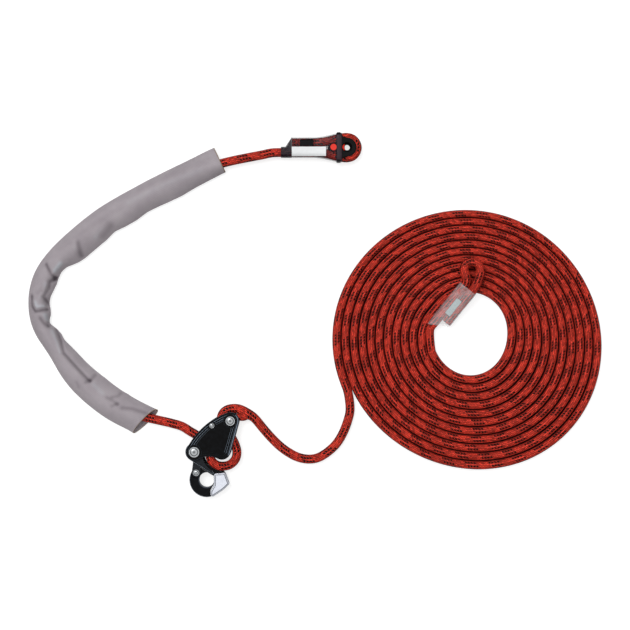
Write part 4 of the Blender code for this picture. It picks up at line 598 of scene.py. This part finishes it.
# a flattened tube along the rope: each half width is the rope's radius plus the reach that the table gives,
# blurred a little along it; the height is that of the rope, the edges hang lower, both ends are cut askew,
# the upper lip of the far mouth stands back, and folds run over the top; outer and inner skin are one closed
# surface
def makeSleeve():
    lead, marks = smoothPath(np.array(rope["lead"]), sleeve["step"])
    edges = np.array(sleeve["edges"]) / 1000
    length = edges[-1, 0] - edges[0, 0]
    count = round(length / sleeve["step"])
    places = np.linspace(edges[0, 0], edges[-1, 0], count + 1)
    line = np.column_stack([np.interp(places, marks, lead[:, axis]) for axis in range(3)])
    ahead = np.gradient(line, axis=0)
    ahead[:, 2] = 0
    ahead /= np.linalg.norm(ahead, axis=1)[:, None]
    radius = rope["diameter"] / 2
    blur = np.exp(-((places[:, None] - places[None]) / sleeve["smoothing"]) ** 2)
    blur /= blur.sum(axis=1)[:, None]
    inner, outer = (radius + blur @ np.interp(places, edges[:, 0], edges[:, side]) for side in (1, 2))
    nearStart = np.clip(1 - (places - places[0]) / sleeve["slantReach"], 0, 1)
    nearEnd = np.clip(1 - (places[-1] - places) / sleeve["slantReach"], 0, 1)
    slant = sleeve["slants"][0] * nearStart ** 2 + sleeve["slants"][1] * nearEnd ** 2
    across = np.column_stack([-ahead[:, 1], ahead[:, 0], np.zeros(len(ahead))]) + slant[:, None] * ahead
    turn = np.linspace(0, 2 * math.pi, sleeve["sides"], endpoint=False)[None]
    cosine, sine = np.cos(turn), np.sin(turn)
    halfWidth = np.where(cosine > 0, inner[:, None], outer[:, None])
    drop = sleeve["edgeDrop"] * (1 - radius / halfWidth) * cosine ** 2
    mouth = (nearEnd ** 3)[:, None] * (sleeve["mouth"][0] - sleeve["mouth"][1] * sine)
    upper = np.clip(sine * 2, 0, 1)
    rings, dark, light = [], [], []
    for wall in (0.0, sleeve["wall"]):
        height = radius + sleeve["play"] + sleeve["wall"] - wall
        side = cosine * (halfWidth - wall)
        flat = line[:, None, :2] + across[:, None, :2] * side[..., None] + ahead[:, None, :2] * mouth[..., None]
        rise, shade, paintedFoldHighlight = foldRise(flat)
        rise = height * np.where(sine > 0, sine ** 2, sine) - drop + rise * upper
        skin = np.sqrt(np.clip((radius + sleeve["ropeShows"]) ** 2 - side ** 2, 0, None))
        skin = skin + sleeve["wall"] - wall
        rise = np.where((sine > 0) & (np.abs(side) < radius), np.maximum(rise, skin), rise)
        rings.append(np.dstack([flat, line[:, None, 2] + rise]))
        dark.append(shade * upper)
        light.append(paintedFoldHighlight * upper)
    grid = np.concatenate([rings[0], rings[1][::-1]])
    around = np.linspace(0, sleeve["flatWidth"], sleeve["sides"] + 1)
    lengthwise = np.concatenate([places, places[::-1], places[:1]])
    uv = np.stack(np.meshgrid(lengthwise, around, indexing="ij"), -1)
    piece = gridObject("wear_sleeve", grid, closeRows=True, uv=uv, material=sleeveMaterial())
    away = np.minimum(places - places[0], places[-1] - places)
    cutEnd = np.clip(1.5 - away / sleeve["cutWidth"], 0, 1)[:, None] + 0 * cosine
    # painted shade in the folds' valleys and painted highlight on their crests
    giveAttribute(piece, "fold", np.concatenate([dark[0], dark[1][::-1]]))
    giveAttribute(piece, "paintedFoldHighlight", np.concatenate([light[0], light[1][::-1]]))
    giveAttribute(piece, "cutEnd", np.concatenate([cutEnd, cutEnd[::-1]]))
    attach(piece, "lanyard")
    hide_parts("protective_sleeve")
    print("sleeve:", len(grid), "rings")


makeSleeve()

# rope adjuster: the pieces whose machined steps and bevels the photograph shows
adjuster = {
    # outlines are belts round wheels, given by middle and radius, hollow round those of negative radius; waist
    # and back are the radii of the plate's hollow lower edge and of its long gentle upper left one
    "pivot": ((-0.0243, -0.0145), 0.0104), "bollard": ((0.0105, -0.0127), 0.0114),
    "top": ((0.0212, 0.0248), 0.0112), "waist": 0.0239, "back": 0.0920, "plateMiddle": (0.0025, 0.0008),
    "outlineStep": 0.0004, "chamfer": 0.0005,
    # steps at the rim and at the pocket: inset of the wall, and the depth below the face
    "steps": ((0.0030, 0.0004), (0.0055, 0.0009)), "lineInside": 0.0077, "rightLine": 0.0015,
    # how far an edge faces right before its painted highlight line changes, and down or up before it goes dark,
    # with each fade
    "facesRight": (0.55, 0.30), "facesDown": (0.40, 0.30), "facesUp": (0.90, 0.08),
    # full thickness left round the rivets: middle and radius
    "lands": {
        "pivot": ((-0.0243, -0.0145), 0.0093), "top": ((0.0212, 0.0248), 0.0086),
        "guide": ((-0.0020, 0.0189), 0.0054),
    },
    "nose": [
        ((0.0029, -0.0445), 0.0026), ((-0.0057, -0.0550), -0.0060), ((-0.0012, -0.0650), 0.0029),
        ((-0.0012, -0.0680), 0.0029), ((-0.0126, -0.0311), 0.0400), ((0.0170, -0.0544), 0.0026),
        ((0.0130, -0.0436), 0.0026),
    ],
    "webs": {
        "nose_root": [((-0.0106, -0.0318), 0.0024), ((0.0029, -0.0445), 0.0026), ((0.0110, -0.0436), 0.0026)],
        "arm_web": [((-0.0149, -0.0334), 0.0015), ((-0.0100, -0.0369), 0.0015)],
    },
    "webHeights": (0.0064, 0.0123),
    "noseMiddle": (0.0070, -0.0520), "noseBevel": 0.0021, "noseBevelDrop": 0.00105,
    "rivets": {
        "pivot_rivet": ((-0.0243, -0.0145), 0.0067), "top_rivet": ((0.0212, 0.0248), 0.0060),
        "guide_rivet": ((-0.0020, 0.0189), 0.0034), "hook_rivet": ((-0.0221, -0.0409), 0.0042),
    },
}


# the wheel of this radius that touches two others: outside them on their right, or round them
def touchingWheel(first, second, radius, outside):
    side = 1 if outside else -1
    start, end = np.array(first[0]), np.array(second[0])
    startReach, endReach = radius + side * first[1], radius + side * second[1]
    span = np.linalg.norm(end - start)
    along = (span ** 2 + startReach ** 2 - endReach ** 2) / (2 * span)
    ahead = (end - start) / span
    right = np.array([ahead[1], -ahead[0]])
    return start + along * ahead + math.sqrt(startReach ** 2 - along ** 2) * right, -side * radius


# a belt that runs anticlockwise round wheels, hollow round those of negative radius: places at even distances
# and the inward direction at each. A wheel's arc turns from the heading of the straight run before to that of
# the one after
def beltLine(wheels, step):
    middles = np.array([place for place, _ in wheels])
    radii = np.array([radius for _, radius in wheels])
    span = np.roll(middles, -1, axis=0) - middles
    lean = (np.roll(radii, -1) - radii) / np.linalg.norm(span, axis=1)
    after = np.arctan2(span[:, 1], span[:, 0]) - np.arcsin(np.clip(lean, -1, 1))
    before = np.roll(after, 1)
    turn = (after - before + 1e-6) % (2 * math.pi) - 1e-6
    turn = np.where((radii < 0) & (turn > 1e-5), turn - 2 * math.pi, turn)
    arcs = []
    for middle, radius, heading, size in zip(middles, radii, before, turn):
        heading = heading + size * np.linspace(0, 1, 40)
        inward = np.column_stack([-np.sin(heading), np.cos(heading)])
        arcs.append(np.hstack([middle - radius * inward, inward]))
    line = np.vstack([*arcs, arcs[0][:1]])
    runs = np.concatenate([[0.0], np.cumsum(np.linalg.norm(np.diff(line[:, :2], axis=0), axis=1))])
    marks = np.arange(round(runs[-1] / step)) * runs[-1] / round(runs[-1] / step)
    line = np.column_stack([np.interp(marks, runs, line[:, axis]) for axis in range(4)])
    return line[:, :2], line[:, 2:] / np.linalg.norm(line[:, 2:], axis=1)[:, None]


# a flat piece: rows of inset and height carried along its outline, the first and last shrunk to a small ring
# at its middle
def plateGrid(outline, inward, rows, middle):
    rows = np.array(rows)
    flat = outline[None] + rows[:, :1, None] * inward[None]
    flat = np.concatenate([middle + (flat[:1] - middle) * 0.02, flat, middle + (flat[-1:] - middle) * 0.02])
    height = np.concatenate([rows[:1, 1], rows[:, 1], rows[-1:, 1]])
    return np.dstack([flat, height[:, None] + 0 * flat[..., 0]])


# a turned piece: rows of radius and height swung round an upright axis
def turnedGrid(rows, middle, sides=72):
    rows = np.array(rows)
    turn = np.linspace(0, 2 * math.pi, sides, endpoint=False)
    x = middle[0] + rows[:, :1] * np.cos(turn)
    return np.dstack([x, middle[1] + rows[:, :1] * np.sin(turn), rows[:, 1:2] + 0 * x])


# front plate, forged and machined: a full rim, then a step and a pocket; painted highlight lines mark the
# steps' edges, except along the hollow lower edge, and on the right one more line runs close to the outline
def makeFrontPlate(material):
    pivot, bollard, top = (adjuster[name] for name in ("pivot", "bollard", "top"))
    waist = touchingWheel(pivot, bollard, adjuster["waist"], True)
    back = touchingWheel(pivot, top, adjuster["back"], False)
    outline, inward = beltLine([pivot, waist, bollard, top, back], adjuster["outlineStep"])
    low, high = (corner[2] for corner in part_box("front_plate"))
    chamfer, (rim, rimDrop), (pocket, pocketDrop) = adjuster["chamfer"], *adjuster["steps"]
    shelf, bed = high - rimDrop, high - pocketDrop

    # rows round a line at this inset: how far each lies from it, its height, and whether the light edge shows
    # there
    def lineRows(inset, light, onRight, *shape):
        return [(inset + out, height, light * seen, onRight * seen) for out, height, seen in shape]

    # inset, height, how light the edge's painted highlight line is all round, and how light it is on the right
    rows = [
        (0.0030, low, 0, 0), (chamfer, low, 0, 0), (0, low + chamfer, 0, 0), (0, high - chamfer, 0, 0.1),
        (chamfer, high, 0, 0.1), (chamfer + 0.0001, high, 0, 0),
    ]
    outside = ((-0.00036, high, 0), (-0.00022, high, 1), (0.00022, high, 1), (0.00036, high, 0))
    rows += lineRows(adjuster["rightLine"], 0, 1, *outside)
    for inset, light, onRight, before, after in ((rim, 0.9, 0.3, high, shelf), (pocket, 0.9, 0.6, shelf, bed)):
        step = ((-0.0002, before, 1), (0, before - 0.00005, 1), (0.0001, after, 1), (0.0002, after, 0))
        rows += lineRows(inset, light, onRight, (-0.0003, before, 0), *step)
    inside = ((-0.0003, bed, 0), (-0.0002, bed, 1), (0, bed, 1), (0.0001, bed, 0))
    rows += lineRows(adjuster["lineInside"], 0.3, 0.5, *inside)
    grid = plateGrid(outline, inward, rows, np.array(adjuster["plateMiddle"]))
    piece = gridObject("machined_front_plate", grid, caps=True, material=material, smooth=False)
    rows = np.array(rows)
    rows = np.vstack([rows[:1], rows, rows[-1:]])
    facing = ((-inward[:, 0], "facesRight"), (inward[:, 1], "facesDown"), (-inward[:, 1], "facesUp"))
    onRight, below, above = (
        smoothStep((share - adjuster[name][0]) / adjuster[name][1])[None] for share, name in facing
    )
    light = (rows[:, 2:3] * (1 - onRight) + rows[:, 3:4] * onRight) * (1 - below) * (1 - above)
    # painted highlight lines on the steps' edges
    giveAttribute(piece, "paintedEdgeLine", np.concatenate([light.reshape(-1), [0, 0]]))
    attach(piece, "lanyard")
    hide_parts("front_plate")
    for name, (middle, radius) in adjuster["lands"].items():
        foot, face, edge = low + 0.0010, high - 0.00002, 0.0002
        rows = [(edge, foot), (radius, foot), (radius, face - edge), (radius - edge, face), (edge, face)]
        land = gridObject(f"{name}_land", turnedGrid(rows, middle), caps=True, material=material, smooth=False)
        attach(land, "lanyard")


# nose: cut from bar with a wide bevel all round; painted shade gives a dark line where the bevel meets the face
# and one at the outline
def makeNose(material):
    outline, inward = beltLine(adjuster["nose"], adjuster["outlineStep"])
    low, high = (corner[2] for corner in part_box("nose_plate"))
    bevel, drop = adjuster["noseBevel"], adjuster["noseBevelDrop"]
    # inset, height, and how dark its painted shade line is
    rows = [
        (0.0020, low, 0), (0.0004, low, 0), (0, low + 0.0004, 0.5), (0, high - drop - 0.0004, 0.5),
        (0, high - drop, 1), (0.00045, high - drop * 0.80, 0), (bevel - 0.0006, high - drop * 0.28, 0),
        (bevel - 0.0001, high - drop * 0.05, 1), (bevel, high, 1), (bevel + 0.0005, high, 0),
    ]
    grid = plateGrid(outline, inward, [row[:2] for row in rows], np.array(adjuster["noseMiddle"]))
    piece = gridObject("bevelled_nose", grid, caps=True, material=material, smooth=False)
    dark = np.array([0, *(row[2] for row in rows), 0])[:, None] + 0 * outline[None, :, 0]
    # painted shade lines on the nose's edges
    giveAttribute(piece, "paintedEdgeLine", np.concatenate([dark.reshape(-1), [0, 0]]))
    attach(piece, "cam_arm")
    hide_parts("nose_plate")


# the nose's root and a web run on between the cheeks, dark in their shadow
def makeWebs(material):
    low, high = adjuster["webHeights"]
    rows = [(0.0008, low), (0, low + 0.0002), (0, high - 0.0002), (0.0008, high)]
    for name, wheels in adjuster["webs"].items():
        outline, inward = beltLine(wheels, adjuster["outlineStep"])
        grid = plateGrid(outline, inward, rows, np.mean([place for place, _ in wheels], axis=0))
        web = gridObject(name, grid, caps=True, material=material, smooth=False)
        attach(web, "cam_arm")


# thimble end: what the photograph shows on top of the CAD's thimble, keeper and labels
thimble = {
    "middle": (0.1689, 0.3712, 0.0084),
    # the ring that narrows its eye: radius and height of the section's corners
    "liner": [
        (0.0063, 0.0064), (0.0050, 0.0048), (0.0036, 0.0026), (0.0036, -0.0026), (0.0050, -0.0048),
        (0.0063, -0.0064), (0.0066, 0.0),
    ],
    # red crescent: from and to which angle, radius of its middle line, half width and half height; its horns'
    # least share of these, and the power of the sine that they taper by
    "keeper": (math.radians(118), math.radians(246), 0.0049, 0.0020, 0.0074), "horns": (0.04, 0.35),
    # plate that joins the yoke to the ring and hides the rope there
    "flange": [((0.1689, 0.3712), 0.0118), ((0.1606, 0.3822), 0.0034), ((0.1606, 0.3602), 0.0034)],
    "flangeHeights": (0.0012, 0.0156), "mouth": 0.0068,
    # yoke round both legs: stations beside the middle, half width and half height; how square its corners are
    "yoke": [
        (-0.0138, 0.0170, 0.0060), (-0.0137, 0.0181, 0.0073), (-0.0130, 0.0188, 0.0078),
        (-0.0100, 0.0189, 0.0079), (-0.0072, 0.0186, 0.0078), (-0.0064, 0.0178, 0.0073),
        (-0.0062, 0.0168, 0.0060),
    ],
    "corner": 0.35,
    "neck": [((0.1495, 0.3712), 0.0049), ((0.1590, 0.3712), 0.0060)], "neckHeights": (0.0024, 0.0147),
    "neckMiddle": (0.1545, 0.3712), "outlineStep": 0.0005,
    # labels on the cover: left, right, low and high edge, the leg's middle line at both ends, and which side
    # falls away
    "label": (0.0989, 0.1422, 0.3599, 0.3717, 0.3653, 0.3640, -1),
    "tag": (0.1092, 0.1261, 0.3726, 0.3811, 0.3771, 0.3773, 1),
    "coverSwell": ((0.120, 0.1295, 0.1372, 0.1449), (0.0, 0.0, 0.0006, 0.0012)), "coverRadius": 0.00735,
    "labelThickness": 0.00025,
}


# a label laid on the cover: level between the legs, and round like the cover where it falls away past a leg's
# middle; at each station a ring runs over its upper side and back under it
def makeLabel(name, node, material):
    left, right, low, high, startLine, endLine, side = thimble[name]
    x, y = np.meshgrid(np.linspace(left, right, 40), np.linspace(low, high, 30), indexing="ij")
    past = np.clip(side * (y - (startLine + (endLine - startLine) * (x - left) / (right - left))), 0, None)
    radius = thimble["coverRadius"]
    rise = np.sqrt(np.clip(radius ** 2 - past ** 2, 0, None)) + np.interp(x, *thimble["coverSwell"])
    upper, under = (
        np.stack([x, y, thimble["middle"][2] + rise * (1 + lift / radius)], -1)
        for lift in (thimble["labelThickness"], 0.0)
    )
    ring = np.concatenate([upper, under[:, ::-1]], axis=1)
    block = gridObject(name + "_film", ring, caps=True, material=material, smooth=False)
    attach(block, "lanyard")
    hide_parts(node)


# turned liner, a crescent that is a bent ellipse in section and tapers to its horns, a yoke whose section is
# a flat sided oval carried along the thimble's axis, and a neck plate round the button
def makeThimbleLook():
    x, y, z = thimble["middle"]
    liner = turnedGrid([(radius, z + rise) for radius, rise in thimble["liner"]], (x, y))
    liner = gridObject("eye_liner", liner, closeRows=True, material=blackNylon, smooth=False)
    first, last, reach, halfWidth, halfHeight = thimble["keeper"]
    angle = np.linspace(first, last, 40)[:, None]
    turn = np.linspace(0, 2 * math.pi, 24, endpoint=False)[None]
    least, power = thimble["horns"]
    taper = np.clip(np.sin((angle - first) / (last - first) * math.pi), least, 1) ** power
    radius = reach + halfWidth * taper * np.cos(turn)
    height = z + halfHeight * taper * np.sin(turn)
    keeper = np.dstack([x + radius * np.cos(angle), y + radius * np.sin(angle), height])
    keeper = gridObject("red_keeper", keeper, caps=True, material=redRubber)
    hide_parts("eye_keeper")
    station, wide, tall = (np.array(column)[:, None] for column in zip(*thimble["yoke"]))
    across, above = (np.sign(wave) * np.abs(wave) ** thimble["corner"] for wave in (np.cos(turn), np.sin(turn)))
    yoke = np.dstack([x + station + 0 * turn, y + wide * across, z + tall * above])
    yoke = gridObject("yoke_shell", yoke, caps=True, material=filmedNylon, smooth=False)
    outline, inward = beltLine(thimble["neck"], thimble["outlineStep"])
    low, high = thimble["neckHeights"]
    rows = [(0.0015, low), (0.0005, low), (0, low + 0.0005), (0, high - 0.0005), (0.0005, high), (0.0015, high)]
    neck = plateGrid(outline, inward, rows, np.array(thimble["neckMiddle"]))
    neck = gridObject("neck_plate", neck, caps=True, material=blackNylon, smooth=False)
    outline, inward = beltLine(thimble["flange"], thimble["outlineStep"])
    low, high = thimble["flangeHeights"]
    # a ring-shaped plate: its inner edge stands on the eye's mouth
    away = outline - (x, y)
    mouth = (x, y) + away / np.linalg.norm(away, axis=1)[:, None] * thimble["mouth"]
    face = outline + inward * 0.0010
    levels = [(face, low), (outline, low + 0.0008), (outline, high - 0.0008), (face, high)]
    levels += [(mouth, high - 0.0002), (mouth, low + 0.0002)]
    flange = np.stack([np.column_stack([flat, np.full(len(flat), level)]) for flat, level in levels])
    flange = gridObject("thimble_flange", flange, closeRows=True, material=blackNylon, smooth=False)
    for piece in (liner, keeper, yoke, neck, flange):
        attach(piece, "lanyard")
    makeLabel("label", "splice_label", paleLabel)
    makeLabel("tag", "splice_tag", darkLabel)


# finishes of the carried-over CAD nodes
metal = {
    "blackDye": "#040405", "blackGlint": "#3C434B", "paintedEdgeLine": "#8E9DAD", "greyDye": "#1C1E22",
    "greyGlint": "#87909A", "ringDye": "#08080B", "ringGlint": "#454B55", "steel": "#B4B8BA",
    "aluminium": "#DDE0E8", "noseEdgeShade": "#3F464E",
    # rivet heads' painted rings of light and shade: share of the radius, and how bright
    "rivetPaintedRings": [
        (0.0, 0.30), (0.20, 0.34), (0.34, 0.80), (0.56, 0.86), (0.66, 0.22), (0.72, 0.22), (0.80, 0.90),
        (0.94, 0.84), (1.0, 0.45),
    ],
}


# hard anodised forging: a dyed oxide skin, satin and near black, with a grain of 0.4 mm, coarse enough to
# show, and clouds of 4 mm. Bevels get a painted highlight, a lighter colour where the face's own normal leans
# between upright and level; so do the edges that a piece marks itself, as painted highlight lines
def anodised(name, dye, edge, roughness):
    material, tree = newMaterial(name)
    place = addNode(tree, "TexCoord", give="Object")
    cloud = addNode(tree, "TexNoise", {"Vector": place, "Scale": 240.0, "Detail": 3.0})
    cloud = addNode(tree, "MapRange", {"Value": cloud, "From Min": 0.4, "From Max": 0.8, "To Max": 0.06})
    lean = addNode(tree, "SeparateXYZ", (addNode(tree, "NewGeometry", give="True Normal"),), give=2)
    lean = addNode(tree, "Math ABSOLUTE", (lean,))
    # painted highlight: a lighter colour on faces that lean like bevels, mixed with the random clouds
    bevel, top = (
        addNode(tree, "MapRange", {"Value": lean, "From Min": start, "From Max": end})
        for start, end in ((0.2, 0.4), (0.98, 0.9))
    )
    bevelGlintAndCloud = addNode(tree, "Math MAXIMUM", (addNode(tree, "Math MULTIPLY", (bevel, top)), cloud))
    colour = layered(tree, dye, (bevelGlintAndCloud, edge), ("paintedEdgeLine", metal["paintedEdgeLine"]))
    grain = addNode(tree, "TexNoise", {"Vector": place, "Scale": 2500.0, "Detail": 2.0})
    bump = addNode(tree, "Bump", {"Strength": 0.15, "Distance": 0.0001, "Height": grain})
    return finishMaterial(material, {
        "Base Color": colour, "Roughness": roughness, "Metallic": 0.0, "Specular IOR Level": 0.06,
        "Normal": bump,
    })


# bare metal, turned or tumbled: bright, with turning or tumbling marks 1.1 mm apart in its roughness, drawn
# coarser than real so that they show; marked edges get painted shade, as dark lines
def bareMetal(name, tone, roughness):
    material, tree = newMaterial(name)
    place = addNode(tree, "TexCoord", give="Object")
    marks = addNode(tree, "TexNoise", {"Vector": place, "Scale": 900.0, "Detail": 3.0})
    rough = addNode(tree, "MapRange", {"Value": marks, "To Min": roughness * 0.7, "To Max": roughness * 1.4})
    bump = addNode(tree, "Bump", {"Strength": 0.2, "Distance": 0.00005, "Height": marks})
    colour = layered(tree, tone, ("paintedEdgeLine", metal["noseEdgeShade"]))
    return finishMaterial(material, {"Base Color": colour, "Roughness": rough, "Metallic": 1.0, "Normal": bump})


# turned rivet head: painted rings of light and shade round its own axis, from the middle outwards a dimple in
# painted shade, a painted highlight on the dome, a painted shadow in the groove and a painted highlight on the
# flange; the same rings stand up and sink in the surface
def rivetSteel(name, middle, radius):
    material, tree = newMaterial(name)
    place = addNode(tree, "TexCoord", give="Object")
    flat = addNode(tree, "VectorMath SUBTRACT", (place, (*middle, 0.0)))
    flat = addNode(tree, "VectorMath MULTIPLY", (flat, (1 / radius, 1 / radius, 0.0)))
    share = addNode(tree, "VectorMath LENGTH", (flat,), give="Value")
    rings = addNode(tree, "ValToRGB", (share,), give=None)
    for position, tone in metal["rivetPaintedRings"]:
        element = rings.color_ramp.elements.new(position)
        element.color = (tone, tone, tone, 1)
    for end in (-1, 0):
        rings.color_ramp.elements.remove(rings.color_ramp.elements[end])
    rings = rings.outputs[0]
    colour = {0: 1.0, 6: rings, 7: linear(metal["steel"])}
    colour = addNode(tree, "Mix", colour, give=2, data_type="RGBA", blend_type="MULTIPLY")
    bump = addNode(tree, "Bump", {"Strength": 0.5, "Distance": 0.0004, "Height": rings})
    return finishMaterial(material, {"Base Color": colour, "Roughness": 0.24, "Metallic": 1.0, "Normal": bump})


# moulded plastic, rubber or film: one colour with slight clouds of 3 mm and a mould grain of 0.6 mm, coarse
# enough to show
def moulded(name, tone, deep, roughness, level=0.5):
    material, tree = newMaterial(name)
    place = addNode(tree, "TexCoord", give="Object")
    cloud = addNode(tree, "TexNoise", {"Vector": place, "Scale": 300.0, "Detail": 3.0})
    colour = layered(tree, tone, (cloud, deep))
    grain = addNode(tree, "TexNoise", {"Vector": place, "Scale": 1800.0, "Detail": 1.0})
    bump = addNode(tree, "Bump", {"Strength": 0.2, "Distance": 0.0001, "Height": grain})
    return finishMaterial(material, {
        "Base Color": colour, "Roughness": roughness, "IOR": 1.5, "Specular IOR Level": level, "Normal": bump,
    })


# heat-shrunk film: clear or smoky, it lets the rope show through under a thin haze, uneven in clouds of 6 mm,
# and a gloss. It lies in more layers beyond the left end of the rope inside, and what sticks out through it
# stands in a round opening
def film(name, haze, cover, openings=(), folded=None):
    material, tree = newMaterial(name)
    place = addNode(tree, "TexCoord", give="Object")
    cloud = addNode(tree, "TexNoise", {"Vector": place, "Scale": 160.0, "Detail": 3.0})
    amount = addNode(tree, "MapRange", {
        "Value": cloud, "From Min": 0.3, "From Max": 0.7, "To Min": cover - 0.05, "To Max": cover + 0.05,
    })
    if folded:
        edge, added = folded
        x = addNode(tree, "SeparateXYZ", (place,))
        more = {"Value": x, "From Min": edge, "From Max": edge - 0.002, "To Max": added}
        amount = addNode(tree, "Math ADD", (amount, addNode(tree, "MapRange", more)))
    for middle, radius in openings:
        flat = addNode(tree, "VectorMath SUBTRACT", (place, (*middle, 0.0)))
        flat = addNode(tree, "VectorMath MULTIPLY", (flat, (1.0, 1.0, 0.0)))
        away = addNode(tree, "VectorMath LENGTH", (flat,), give="Value")
        shut = addNode(tree, "Math GREATER_THAN", (away, radius))
        amount = addNode(tree, "Math MULTIPLY", (amount, shut))
    return finishMaterial(material, {
        "Base Color": linear(haze), "Roughness": 0.22, "IOR": 1.5, "Specular IOR Level": 0.3, "Alpha": amount,
    })


blackAnodised = anodised("black_anodised_aluminium", metal["blackDye"], metal["blackGlint"], 0.42)
greyAnodised = anodised("grey_anodised_aluminium", metal["greyDye"], metal["greyGlint"], 0.4)
ringAnodised = anodised("ring_anodised_aluminium", metal["ringDye"], metal["ringGlint"], 0.36)
steel = bareMetal("turned_stainless_steel", metal["steel"], 0.22)
aluminium = bareMetal("blasted_forged_aluminium", metal["aluminium"], 0.62)
blackNylon = moulded("moulded_black_nylon", "#060607", "#0C0C0E", 0.5, 0.08)
# the cover's film lies over the yoke and gives its black nylon a plum haze
filmedNylon = moulded("black_nylon_under_film", "#33202A", "#241820", 0.35, 0.2)
redRubber = moulded("moulded_red_rubber", "#F0301C", "#DC2818", 0.5, 0.3)
paleLabel = moulded("printed_film_pale", "#EDEFF0", "#DEE1E2", 0.4)
blueLabel = moulded("printed_film_blue", "#A9C0C2", "#97B0B3", 0.4)
darkLabel = moulded("printed_film_dark", "#060607", "#0C0C0F", 0.5, 0.08)
smokyFilm = film("smoky_shrink_film", "#262029", 0.22, [((0.1518, 0.3712), 0.0046)], (0.0995, 0.38))
clearFilm = film("clear_shrink_film", "#F4ECEC", 0.14)
finishes = {
    "front_plate": blackAnodised, "rear_plate": blackAnodised, "pivot_rivet": steel, "pivot_bush": steel,
    "top_rivet": steel, "top_bush": steel, "guide_rivet": steel, "guide_spacer": steel,
    "arm_front_cheek": greyAnodised, "arm_rear_cheek": blackAnodised, "arm_cam": blackAnodised,
    "arm_spring": steel, "nose_plate": aluminium, "nose_pin": steel, "hook_rivet": steel,
    "eye_hook": ringAnodised, "thimble": blackNylon, "eye_keeper": redRubber, "keeper_button": redRubber,
    "splice_cover": smokyFilm, "splice_label": paleLabel, "splice_tag": darkLabel,
    "end_shrink_sleeve": clearFilm, "end_label": blueLabel,
}
finishes |= {name: rivetSteel(name + "_head", *place) for name, place in adjuster["rivets"].items()}
makeFrontPlate(blackAnodised)
makeNose(aluminium)
makeWebs(blackAnodised)
makeThimbleLook()
for name, material in finishes.items():
    for place in nodes[name].material_slots:
        place.material = material
print("finishes on", len(finishes), "carried-over nodes")
